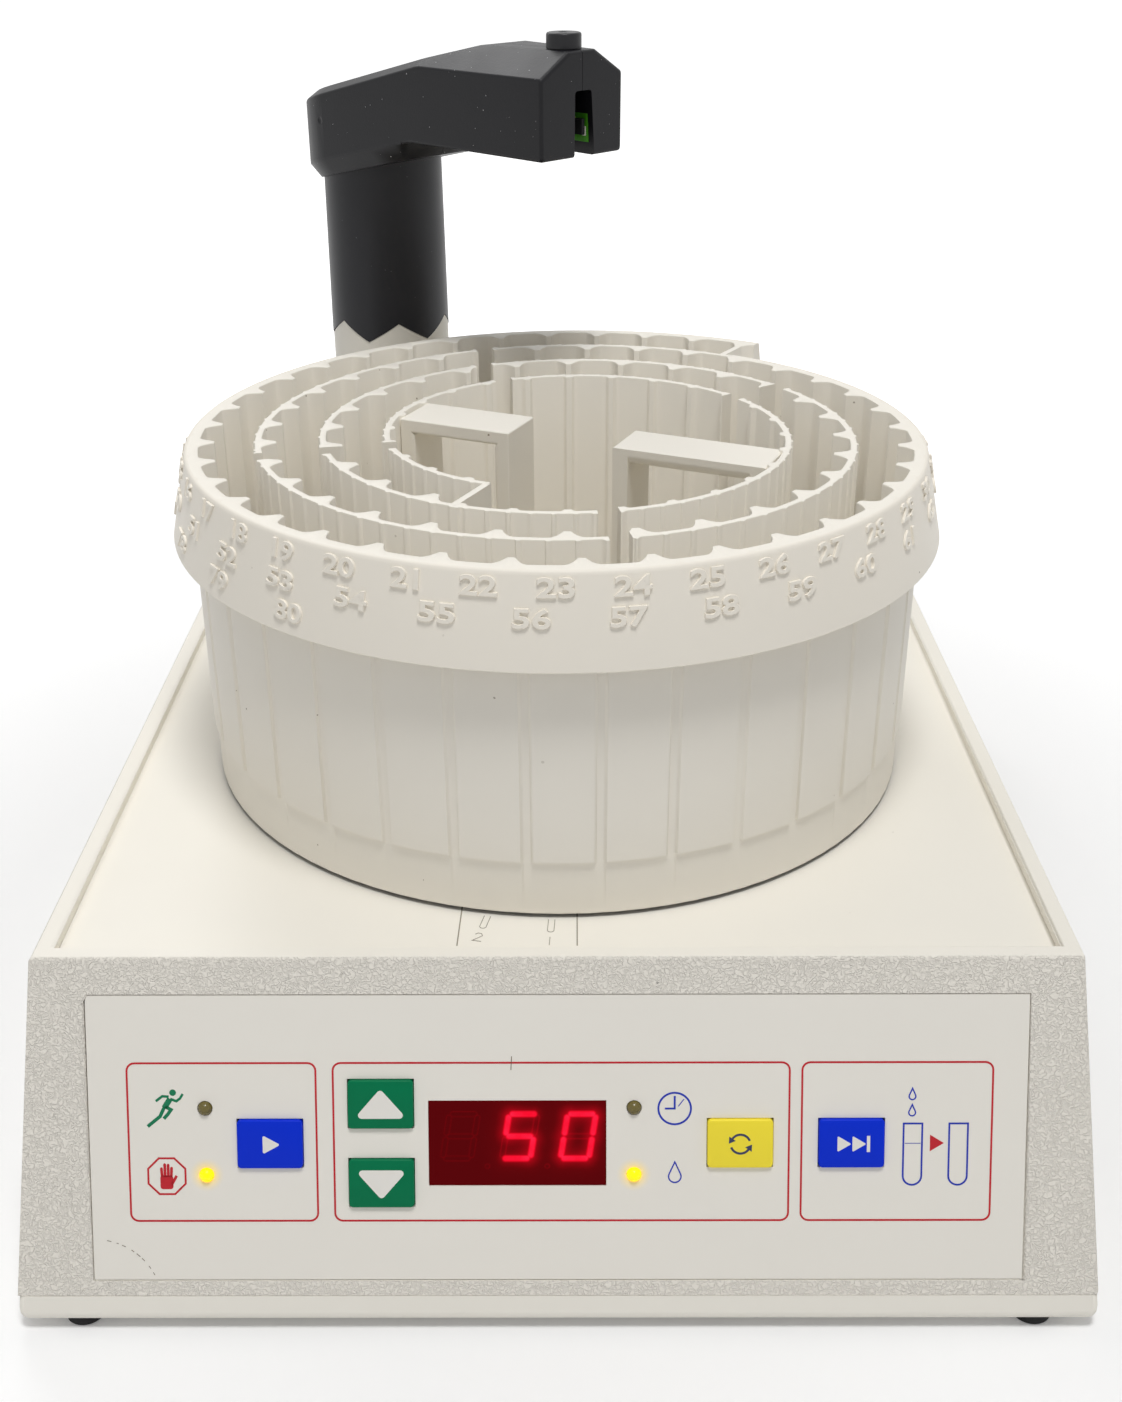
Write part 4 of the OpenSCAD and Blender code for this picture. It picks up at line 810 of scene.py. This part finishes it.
def spiral_tree(name, section):
    """Geometry Nodes tree that sweeps a section along the spiral. Each corner of the section is (side: 0 inner or
    1 outer, inset in edge radii, level between bottom and top, rise in edge radii, share of the relief)"""
    tree = bpy.data.node_groups.new(name, "GeometryNodeTree")
    group_socket(tree, "Geometry", "NodeSocketGeometry")
    for label in ("Outer radius", "Pitch", "Start angle", "First angle", "Last angle", "Turns behind", "Wall",
                  "Thickness", "Tube spacing", "Cusp depth", "Cusp tip", "Cusp flank", "Rib height", "Panel relief",
                  "End rib", "Bottom", "Top", "Edge radius", "Centre x", "Centre y"):
        group_socket(tree, label, "NodeSocketFloat", value=0.0)
    group_socket(tree, "Steps", "NodeSocketInt", value=100)
    group_socket(tree, "Material", "NodeSocketMaterial")
    group_socket(tree, "Geometry", "NodeSocketGeometry", out=True)
    given = group_inputs(tree)
    corners = len(section) + 1
    grid = tree.nodes.new("GeometryNodeMeshGrid")
    (given["Steps"] + 1).feeds(grid.inputs["Vertices X"])
    grid.inputs["Vertices Y"].default_value = corners
    index = Field(tree, tree.nodes.new("GeometryNodeInputIndex").outputs[0])
    step, corner = (index / corners).math("FLOOR"), index.math("MODULO", corners)
    side, inset, level, rise, relief = (by_index(tree, corner, column) for column in zip(*(section + section[:1])))
    angle = step / given["Steps"] * (given["Last angle"] - given["First angle"]) + given["First angle"]
    turned = angle - given["Start angle"]
    per_radian = given["Pitch"] / TURN
    outer = given["Outer radius"] - turned * per_radian
    # place along the channel inside this turn, counted in tubes
    local = turned - given["Turns behind"] * TURN
    groove = given["Outer radius"] - (given["Pitch"] + given["Wall"]) * 0.5
    place = (groove * local - per_radian * 0.5 * local * local) / given["Tube spacing"]

    def way_to_next(counted, spacing):
        """How far it is to the nearest half number of places that lie spacing apart"""
        return ((counted + 0.5).math("FRACT") - 0.5).math("ABSOLUTE") * spacing

    def raised(rest, flank):
        """1 where rest is positive by more than the flank, 0 where it is negative"""
        return rest.math("DIVIDE", flank * MM, clamp=True)

    cusp_way = way_to_next(place + (WHOLE_TUBES - CUSP_LAG), given["Tube spacing"])
    cusp = (1.0 - (cusp_way - given["Cusp tip"]).math("MAXIMUM", 0.0) / given["Cusp flank"]).math("MAXIMUM", 0.0)
    rib_way = way_to_next((place + WHOLE_TUBES) * RIBS_PER_TUBE, given["Tube spacing"] / RIBS_PER_TUBE)
    rib = raised(RIB_HALF * MM - rib_way, RIB_FLANK)
    from_ends = (angle - given["First angle"]).math("MINIMUM", given["Last angle"] - angle)
    end_rib = raised(END_RIB_W * MM - outer * from_ends, END_RIB_FLANK)
    panel_step = TURN / PANELS
    gap_way = way_to_next((angle + (20 * TURN - PANEL_GAP_AT)) / panel_step, outer * panel_step)
    panel = raised(gap_way - PANEL_GAP_HALF * MM, PANEL_FLANK)
    proud = panel * given["Panel relief"] * relief + rib * given["Rib height"] + end_rib * given["End rib"]
    inward = inset * given["Edge radius"]
    outer_face = outer + proud - inward
    inner_face = outer - given["Thickness"] - cusp * cusp * given["Cusp depth"] + inward
    radius = (outer_face - inner_face) * side + inner_face
    height = (given["Top"] - given["Bottom"]) * level + given["Bottom"] + rise * given["Edge radius"]
    point = tree.nodes.new("ShaderNodeCombineXYZ")
    (angle.math("COSINE") * radius + given["Centre x"]).feeds(point.inputs[0])
    (angle.math("SINE") * radius + given["Centre y"]).feeds(point.inputs[1])
    height.feeds(point.inputs[2])
    # the mesh goes through these nodes in turn and out
    chain = [tree.nodes.new("GeometryNode" + kind)
             for kind in ("SetPosition", "MergeByDistance", "RealizeInstances", "SetMaterial")]
    put, join, paint = chain[0], chain[1], chain[3]
    for node, after in zip([grid] + chain, chain + [tree.nodes.new("NodeGroupOutput")]):
        tree.links.new(node.outputs[0], after.inputs["Geometry"])
    tree.links.new(point.outputs[0], put.inputs["Position"])
    join.inputs["Distance"].default_value = 1e-6
    given["Material"].feeds(paint.inputs["Material"])
    return tree


def finished_mesh(holder):
    """The plain mesh that an object's modifiers or curve make; the object itself is dropped"""
    bpy.context.view_layer.update()
    mesh = bpy.data.meshes.new_from_object(holder.evaluated_get(bpy.context.evaluated_depsgraph_get()))
    bpy.data.objects.remove(holder)
    return mesh


def shape_of(mesh):
    """A bmesh in place of a mesh"""
    shape = bmesh.new()
    shape.from_mesh(mesh)
    bpy.data.meshes.remove(mesh)
    return shape


def mesh_of(shape):
    """A mesh in place of a bmesh"""
    mesh = bpy.data.meshes.new("part")
    shape.to_mesh(mesh)
    shape.free()
    return mesh


def add_mesh(shape, mesh):
    """Adds a mesh to a bmesh and drops the mesh"""
    shape.from_mesh(mesh)
    bpy.data.meshes.remove(mesh)


def grown(tree, **sizes):
    """Runs a tree once on an empty mesh and gives the result as a plain mesh"""
    holder = placed_object("holder", bpy.data.meshes.new("holder"))
    modifier = holder.modifiers.new("tree", "NODES")
    modifier.node_group = tree
    sockets = {item.name: item.identifier for item in tree.interface.items_tree if item.in_out == "INPUT"}
    for label, value in sizes.items():
        modifier[sockets[label.replace("_", " ").capitalize()]] = value
    return finished_mesh(holder)


beige = moulded("rack_plastic", (245, 240, 229), 0.5, bump=0.006, cloud=0.008, cloud_scale=40.0, speck_share=0.006,
                speck=(130, 112, 88), grain_scale=2500.0)


def sweep(shape, tree, first, last, bottom, top, step=0.32, thickness=RACK_WALL, turns_behind=0.0, **sizes):
    """Adds one closed stretch of wall between two angles to a bmesh; sizes are in millimetres"""
    steps = max(2, int((last - first) * wall_radius((first + last) / 2) / step))
    lengths = dict(sizes, outer_radius=RACK_R, pitch=RACK_PITCH, wall=RACK_WALL, thickness=thickness,
                   tube_spacing=TUBE_PITCH, bottom=bottom, top=top, centre_x=RACK_X, centre_y=RACK_Y)
    lengths.setdefault("cusp_flank", 3.0)
    part = shape_of(grown(tree, start_angle=START, first_angle=first, last_angle=last, turns_behind=turns_behind,
                          steps=steps, material=beige, **{name: size * MM for name, size in lengths.items()}))
    closed_up(part)
    add_mesh(shape, mesh_of(part))


wall_section = [(0, 0, 0, 0, 0), (0, 0, 1, -1, 0), (0, 0.3, 1, -0.3, 0), (0, 1, 1, 0, 0), (1, 1, 1, 0, 0),
                (1, 0.3, 1, -0.3, 0), (1, 0, 1, -1, 0), (1, 0, 0, 0, 0)]
skirt_section = wall_section[:5] + [(1, 0.3, 1, -0.3, 1), (1, 0, 1, -1, 1), (1, 0, PANEL_LEVEL, 1.2, 1),
                                    (1, 0, PANEL_LEVEL, 0, 0), (1, 0, 0, 1, 0), (1, 1, 0, 0, 0)]
wall_tree = spiral_tree("scalloped_wall", wall_section)
cusps = dict(cusp_depth=3.7, cusp_tip=0.75, cusp_flank=3.0, edge_radius=0.3)

shape = bmesh.new()
sweep(shape, spiral_tree("panelled_wall", skirt_section), START, START + TURN, RACK_BOTTOM, RACK_TOP,
      thickness=2.3, panel_relief=0.7, **cusps)
outer_wall = piece_of(shape, "panelled_outer_wall", beige, smooth=40)
hand_over(outer_wall, "rack", "rack_outer_wall")

# the slots' middles in degrees, on the second turn and on the ones inside it, where the slides stand a little askew
SLOT_HALF, SLOTS_SECOND, SLOTS_INSIDE = 2.5, (34, 107.9, 194.5, 278.1), (33.5, 112, 194.2, 278.2)
WALL_SUNK, OVERLAP = 0.5, math.radians(0.05)        # how far the walls reach into the floor and into each other


def between_slots(first, last, slots):
    """The stretches of wall that the finger slots leave between two angles"""
    cuts = []
    for slot in slots:
        for angle in (math.radians(slot) + TURN * turn for turn in range(6)):
            if first < angle < last:
                half = math.asin(SLOT_HALF / wall_radius(angle))
                cuts += [(angle - half, angle + half)]
    edges = [first] + [a for cut in sorted(cuts) for a in cut] + [last]
    return list(zip(edges[::2], edges[1::2]))


def closing_wall(shape, angle, outer, inner):
    """Adds the thin radial wall that shuts the channel between two turns"""
    middle = Vector((RACK_X, RACK_Y))
    out = Vector((math.cos(angle), math.sin(angle)))
    side = Vector((-out.y, out.x)) * RACK_WALL / 2
    far, near = middle + out * outer, middle + out * inner
    panel = Drawing((FLOOR_Z - WALL_SUNK) * MM, (RACK_TOP - 0.1) * MM)
    panel.fill([tuple(corner * MM) for corner in (far - side, far + side, near + side, near - side)])
    bmesh.ops.recalc_face_normals(panel.shape, faces=panel.shape.faces)
    add_mesh(shape, mesh_of(panel.shape))


CLOSE_START, CLOSE_END = math.radians(58.2), END - math.radians(0.7)
small_cusps = dict(cusp_depth=1.1, cusp_tip=0.9, cusp_flank=1.2, edge_radius=0.3)
for name, node, slots, stretches in (
        ("scalloped_second_wall", "rack_second_wall", SLOTS_SECOND,
         [(START + TURN - OVERLAP, START + 2 * TURN, 0.0, cusps)]),
        ("scalloped_third_wall", "rack_third_wall", SLOTS_INSIDE,
         [(START + 2 * TURN - OVERLAP, END, 0.0, cusps), (END - OVERLAP, END + TURN, 1.0, small_cusps)])):
    shape = bmesh.new()
    for first, last, behind, knobs in stretches:
        sizes = dict(knobs, turns_behind=behind, rib_height=0.42)
        sweep(shape, wall_tree, first, last, FLOOR_Z - WALL_SUNK, SLOT_Z, step=0.6, **sizes)
        for a, b in between_slots(first, last, slots):
            sweep(shape, wall_tree, a, b, SLOT_Z - 0.6, RACK_TOP, end_rib=0.5, **sizes)
    if node == "rack_second_wall":
        closing_wall(shape, CLOSE_START, wall_radius(CLOSE_START) - 1.2, wall_radius(CLOSE_START + TURN) - 0.4)
    else:
        closing_wall(shape, CLOSE_END, wall_radius(CLOSE_END) - 0.8, wall_radius(CLOSE_END + TURN) - 0.8)
    inner_wall = piece_of(shape, name, beige, smooth=40)
    hand_over(inner_wall, "rack", node)

# ---------------------------------------------------------------- rack collar
# A flared collar runs round the top of the rack. It stiffens the rim, gives the fingers a hold and carries the tube
# numbers, moulded on it in three rows, one for each turn of the channel.
collar_beige = moulded("collar_plastic", (243, 237, 225), 0.48, bump=0.006, cloud=0.008, cloud_scale=30.0,
                       speck_share=0.006, speck=(130, 112, 88), grain_scale=2500.0)
COLLAR_TOP, COLLAR_BOTTOM, LIP_OUT, LIP_DOWN = 159.95, 139.2, 1.35, 1.0
collar_section = [(1, 0.6, 1, -0.05, 0), (1, -0.7, 1, 0, 0), (1, -1.1, 1, -0.3, 0), (1, -LIP_OUT, 1, -LIP_DOWN, 0),
                  (1, -5.5, 0, 0.8, 0), (1, -5.6, 0, 0.3, 0), (1, -5.35, 0, 0, 0), (1, -4.2, 0, 0, 0),
                  (1, -4.0, 0, 0.4, 0), (1, 0.6, 1, -3.2, 0)]
shape = bmesh.new()
sweep(shape, spiral_tree("flared_collar", collar_section), START + 0.001, START + TURN, COLLAR_BOTTOM, COLLAR_TOP,
      step=1.0, edge_radius=1.0)
collar = piece_of(shape, "flared_collar", collar_beige, smooth=40)
hand_over(collar, "rack", "rack_collar")


FLARE = math.atan2(4.15, 18.95)
ROWS_Z, FIGURE_H, FIGURE_STEP, FIGURE_GAP, ONE_SAVES = (156.7, 150.5, 144.3), 4.3, 4.65, 0.5, 1.8
FIGURE_DEPTH, FIGURE_BEVEL, FIGURE_SWELL, FIGURE_R = 0.42, 0.14, 0.16, 103


def lettering(text, height, width):
    """Raised figures as a mesh in millimetres, centred, of a given height and width"""
    curve = bpy.data.curves.new("figures", "FONT")
    curve.body, curve.align_x, curve.align_y, curve.size = text, "CENTER", "CENTER", 10
    curve.extrude, curve.bevel_depth, curve.offset = FIGURE_DEPTH, FIGURE_BEVEL, FIGURE_SWELL
    curve.resolution_u, curve.bevel_resolution = 3, 0
    mesh = finished_mesh(placed_object("figures", curve))
    xs, ys = [v.co.x for v in mesh.vertices], [v.co.y for v in mesh.vertices]
    middle = Vector(((min(xs) + max(xs)) / 2, (min(ys) + max(ys)) / 2, 0))
    for v in mesh.vertices:
        v.co -= middle
        v.co.y *= height / (max(ys) - min(ys))
        v.co.x *= width / (max(xs) - min(xs))
    return mesh


shape = bmesh.new()
for number in range(1, 81):
    angle = tube_angle(number - 0.1)
    row = int((angle - START) // TURN)
    angle = START + (angle - START) % TURN
    text = str(number)
    mesh = lettering(text, FIGURE_H, FIGURE_STEP * len(text) - FIGURE_GAP - ONE_SAVES * text.count("1"))
    for v in mesh.vertices:
        a = angle + v.co.x / FIGURE_R
        z = ROWS_Z[row] + v.co.y * math.cos(FLARE) + v.co.z * math.sin(FLARE)
        face_r = wall_radius(a) + LIP_OUT + (COLLAR_TOP - LIP_DOWN - ROWS_Z[row]) * math.tan(FLARE)
        r = face_r - v.co.y * math.sin(FLARE) + v.co.z * math.cos(FLARE)
        v.co = Vector((RACK_X + r * math.cos(a), RACK_Y + r * math.sin(a), z)) * MM
    add_mesh(shape, mesh)
bmesh.ops.remove_doubles(shape, verts=shape.verts, dist=1e-6)
bmesh.ops.recalc_face_normals(shape, faces=shape.faces)
hand_over(piece_of(shape, "raised_tube_numbers", collar_beige, smooth=50), "rack")

# ---------------------------------------------------------------- rack handles and floor
# Two portal-shaped handles stand on the rack's floor and run out to its innermost wall; their top bars are rounded
# below for the fingers. The floor closes the channel and sits on the turntable.
HANDLE_T, BAR_EDGE, SMALL_SHARE = 4.0, 12 * MM, 0.16
shape = welded("rack_handles")
bar_low = max(v.co.z for v in shape.verts) / MM - HANDLE_T


def handle_weight(edge):
    """Rounds the bars' lower edges fully, the others little"""
    under_bar = all(abs(v.co.z / MM - bar_low) < 0.1 for v in edge.verts)
    return 1.0 if under_bar and edge.is_convex and edge.calc_length() > BAR_EDGE else SMALL_SHARE


round_edges(shape, handle_weight)
handles = add_rounding(piece_of(shape, "rack_handle_frames", beige), 2.6, 4)
hand_over(handles, "rack", "rack_handles")
finish_nodes(beige, "rack_floor")

# ---------------------------------------------------------------- turntable drive
# Under the rack an acetal turntable disc with a square peg turns in a bushed aluminium housing; a gear on its spindle
# meshes with the small stepping motor's brass pinion. None of it shows from outside.
acetal = moulded("acetal", (226, 220, 200), 0.35, bump=0.006)
cast_alloy = moulded("cast_alloy", (150, 153, 158), 0.5, bump=0.05, metallic=0.9, grain_scale=1800.0)
turned_brass = moulded("turned_brass", (196, 160, 84), 0.3, bump=0.004, metallic=1.0, cloud=0.03)
motor_steel = moulded("motor_steel", (128, 130, 134), 0.4, bump=0.01, metallic=0.9, cloud=0.03)
finish_nodes(acetal, "turntable", "drive_gear", "spindle_bush", "post_bearings")
finish_nodes(cast_alloy, "spindle_housing", "post_housing")
finish_nodes(turned_brass, "drive_pinion", "board_standoffs")
finish_nodes(motor_steel, "drive_motor", "motor_bracket", "transformer")

# ---------------------------------------------------------------- post and column
# The beige post stands in bearings under the deck and ends in six blunt teeth. The black column drops onto them, so
# that the arm can be lifted and set at another angle; it widens a little towards its foot.
POST_X, POST_Y, COLUMN_SKIN = -52.7, TOP_Y + 228, 17 * MM
column_black = moulded("column_plastic", (24, 24, 28), 0.42, bump=0.012, specular=0.28, cloud=0.10, cloud_scale=45.0,
                       speck=(90, 90, 92), speck_share=0.03, speck_scale=1200.0, grain_scale=1800.0)
post_beige = moulded("post_plastic", (226, 222, 212), 0.45, bump=0.008, cloud=0.02, speck_share=0.01)
hand_over(piece_of(welded("arm_post"), "toothed_post", post_beige), "post", "arm_post")
COLUMN_TOP, COLUMN_END, COLUMN_TAPER = 203.5, 211.0, 0.0006
shape = welded("arm_column")
for vert in shape.verts:
    axis = Vector((POST_X, POST_Y)) * MM
    across = vert.co.xy - axis
    if across.length > COLUMN_SKIN:
        vert.co.xy = axis + across * (1 + COLUMN_TAPER * (COLUMN_TOP - vert.co.z / MM))
    if vert.co.z > (COLUMN_TOP - 0.1) * MM:
        vert.co.z = COLUMN_END * MM
hand_over(piece_of(shape, "black_column", column_black), "arm", "arm_column")
finish_nodes(column_black, "column_core")

# ---------------------------------------------------------------- arm
# The arm is two black ABS shells screwed together along the ridge, with a fine matt texture and pale dust specks. It
# rises from a round hub with a bevelled foot to a level gabled beam, whose end is slotted for the falling drops.
ARM_LEN, HUB_R, HEAD_MID, EDGE_R, LEFT_TAPER, RIGHT_TAPER = 87.5, 21.5, -3.5, 0.9, 3.0, 10.0
GABLE_SLOPE, HUB_BEVEL, FOOT_DROP, FOOT_IN, FOOT_SKIN, FOOT_UP = 0.6, 3.5, 4.3, 3.0, 0.03, 1.5
SHOULDER_KINK, RIDGE_KINK, LOW_KINK, KINK_HALF = 41.0, 56.7, 36.5, 0.8
arm_black = moulded("arm_plastic", (17, 17, 21), 0.42, bump=0.02, specular=0.24, cloud=0.10, cloud_scale=60.0,
                    speck=(190, 190, 192), speck_share=0.05, speck_scale=1300.0, grain_scale=1500.0)
to_arm = Matrix.Scale(MM, 4) @ Matrix.Translation((POST_X, POST_Y, 0)) @ Matrix.Rotation(math.radians(-45), 4, "Z")


def blend(t, *stops):
    """A value that runs straight between (t, value) stops"""
    for (t0, v0), (t1, v1) in zip(stops, stops[1:]):
        if t <= t1:
            return v0 + (v1 - v0) * max(0.0, t - t0) / (t1 - t0)
    return stops[-1][1]


def arm_sides(t, inset=0.0):
    """The places of the arm's left and right faces at a distance from the column's axis"""
    if t < 0:
        half = math.sqrt(max(0.04, HUB_R ** 2 - t * t))
        return -half, half
    return -HUB_R + LEFT_TAPER * t / ARM_LEN + inset, HUB_R - RIGHT_TAPER * t / ARM_LEN - inset


def low_edge(t):
    """The height of the arm's lower edge"""
    return blend(t, (-HUB_R, 203.8), (LOW_KINK, 217.1), (ARM_LEN, 216.9))


def arm_ring(t, inset=0.0):
    """The arm's gabled section at a distance from the column's axis, with small round corners"""
    left, end = arm_sides(t, inset)
    low = low_edge(t) + inset
    shoulder = blend(t, (-HUB_R, 221.6), (SHOULDER_KINK, 237.1), (ARM_LEN, 237.1)) - inset
    rise = blend(t, (-HUB_R, 2.1), (SHOULDER_KINK, 2.0), (RIDGE_KINK, 5.9), (ARM_LEN, 6.0))
    width = rise / GABLE_SLOPE
    if t < 0:
        width = end - math.sqrt(max(0.09, (HUB_R - HUB_BEVEL) ** 2 - t * t))
        width = min(width, end * 0.9)
        rise = min(rise, GABLE_SLOPE * (HUB_R + t))
    corners = [(left, low), (end, low), (end, shoulder), (end - width, shoulder + rise),
               (left + width, shoulder + rise), (left, shoulder)]
    return [(t, s, z) for s, z in rounded_corners(corners, min(EDGE_R, (end - left) * 0.05, width * 0.3), 3)]


def foot_ring(t, drop=FOOT_DROP):
    """The bevelled foot under the hub"""
    left, end = arm_sides(t)
    low, bottom_r = low_edge(t), HUB_R - FOOT_IN
    foot_left, foot_end = left + FOOT_IN, end - FOOT_IN
    if t < 0:
        foot_end = math.sqrt(max(0.04, bottom_r ** 2 - t * t))
        foot_left = -foot_end
        drop = min(drop, FOOT_DROP * (HUB_R + t) / FOOT_IN)
    left, end, top = left + FOOT_SKIN, end - FOOT_SKIN, low + FOOT_UP
    return [(t, s, z) for s, z in ((foot_left, low - drop), (foot_end, low - drop), (end, low), (end, top),
                                   (left, top), (left, low))]


def loft(rings):
    """A closed body through rings of points (t, across, height)"""
    shape = bmesh.new()
    bridged(shape, [[shape.verts.new(point) for point in ring] for ring in rings])
    bmesh.ops.recalc_face_normals(shape, faces=shape.faces)
    return shape


def combined(shape, tool, operation):
    """Joins or cuts one bmesh with another by a boolean that is run at once"""
    kept, other = (placed_object("part", mesh_of(part)) for part in (shape, tool))
    cut = kept.modifiers.new("cut", "BOOLEAN")
    cut.operation, cut.object, cut.solver = operation, other, "EXACT"
    result = shape_of(finished_mesh(kept))
    bpy.data.objects.remove(other)
    return result


hub_turns = [-HUB_R * math.cos(math.radians(d)) for d in (7, 14, 22, 32, 42, 52, 62, 72, 81, 90)]
kinks = [kink + way for kink in (LOW_KINK, SHOULDER_KINK, RIDGE_KINK) for way in (-KINK_HALF, KINK_HALF)]
stations = hub_turns + sorted(kinks + [10, 20, 30, 48, 65, 75, ARM_LEN - EDGE_R])
end_rings = [[(ARM_LEN - EDGE_R * (1 - math.sin(a)), s, z) for _, s, z in arm_ring(ARM_LEN, EDGE_R * (1 - math.cos(a)))]
             for a in (math.radians(d) for d in (30, 60, 90))]
body = loft([arm_ring(t) for t in stations] + end_rings)
body = combined(body, loft([foot_ring(t) for t in hub_turns + [10, 20, 31]] + [foot_ring(33.5, 0.05)]), "UNION")
SLOT_T, SLOT_LOW, SLOT_TOP, DENT_R, DENT_DEPTH = 72.0, 213.0, 233.4, 3.0, 0.35
slot_outline = rounded_corners([(-6.45, SLOT_LOW), (1.25, SLOT_LOW), (-0.15, SLOT_TOP), (-6.2, SLOT_TOP)], 0.9, 4)
body = combined(body, loft([[(t, s, z) for s, z in slot_outline] for t in (SLOT_T, ARM_LEN + 4)]), "DIFFERENCE")
dent = bmesh.new()
bmesh.ops.create_icosphere(dent, subdivisions=4, radius=DENT_R,
                           matrix=Matrix.Translation((-1.5, -HUB_R - DENT_R + DENT_DEPTH, 219.6)))
body = combined(body, dent, "DIFFERENCE")

# the two shells part along the ridge; each keeps its side of the hairline seam
SEAM = 0.07
for name, node, side in (("arm_left_half", "arm_left_shell", -1), ("arm_right_half", "arm_right_shell", 1)):
    half = body.copy()
    bmesh.ops.bisect_plane(half, geom=half.verts[:] + half.edges[:] + half.faces[:], clear_outer=True,
                           plane_co=(0, HEAD_MID + SEAM * side, 0), plane_no=(0, -side, 0))
    closed_up(half)
    half.transform(to_arm)
    piece = piece_of(half, name, arm_black, smooth=38)
    piece.modifiers.new("even_shading", "WEIGHTED_NORMAL").keep_sharp = True
    hand_over(piece, "arm", node)
body.free()
finish_nodes(arm_black, "arm_screws")

# ---------------------------------------------------------------- tubing bush
# A turned black acetal bush holds the column's tubing in the head: a plain round cap with a softened top edge, and a
# shank down to the slot.
shape = welded("tubing_bush")
cap_top = max(v.co.z for v in shape.verts)
round_edges(shape, lambda edge: float(min(v.co.z for v in edge.verts) > cap_top - 0.1 * MM))
bush_black = moulded("bush_black", (26, 26, 29), 0.38, bump=0.008, speck=(170, 170, 172), speck_share=0.04,
                     speck_scale=1400.0)
bush = add_rounding(piece_of(shape, "tubing_bush_cap", bush_black), 0.6, 3)
hand_over(bush, "bush", "tubing_bush")

# ---------------------------------------------------------------- boards and electronics
# A small green board with the drop sensor's two eyes sits at the end of the head's slot, and its tail with a white
# terminal lies on the slot's far wall. The main board behind the panel carries the switches, lamps and controller.
board_green = moulded("solder_mask", (70, 150, 30), 0.35, bump=0.01, speck=(225, 235, 120), speck_share=0.2,
                      speck_scale=420.0)
chip_black = moulded("chip_black", (28, 28, 30), 0.5, bump=0.01)
finish_nodes(board_green, "sensor_board", "control_board")
finish_nodes(chip_black, "sensor_eyes", "controller_chips", "tactile_switches", "display_module")
TAIL, TAIL_REACH = ((0.62, 220.0), (1.6, 220.0), (1.1, 227.2), (0.12, 227.2)), (75.0, 85.6)
TERMINAL, TERMINAL_REACH = ((0.4, 221.6), (1.0, 221.6), (0.8, 224.0), (0.2, 224.0)), (83.6, 84.9)
for name, section, reach, finish in (("sensor_board_tail", TAIL, TAIL_REACH, board_green),
                                     ("sensor_terminal", TERMINAL, TERMINAL_REACH, sign_white)):
    block = loft([[(t, s, z) for s, z in section] for t in reach])
    block.transform(to_arm)
    hand_over(piece_of(block, name, finish), "arm")

# ---------------------------------------------------------------- rear connections
# On the back wall: the mains inlet with its fuse drawer, the rocker switch in its frame and a small remote socket, all
# black moulded parts that snap into the wall. The photograph doesn't show them.
connector_black = moulded("connector_black", (28, 28, 30), 0.4, bump=0.01, specular=0.4)
finish_nodes(connector_black, "power_inlet", "fuse_drawer", "switch_frame", "remote_socket", "power_rocker")
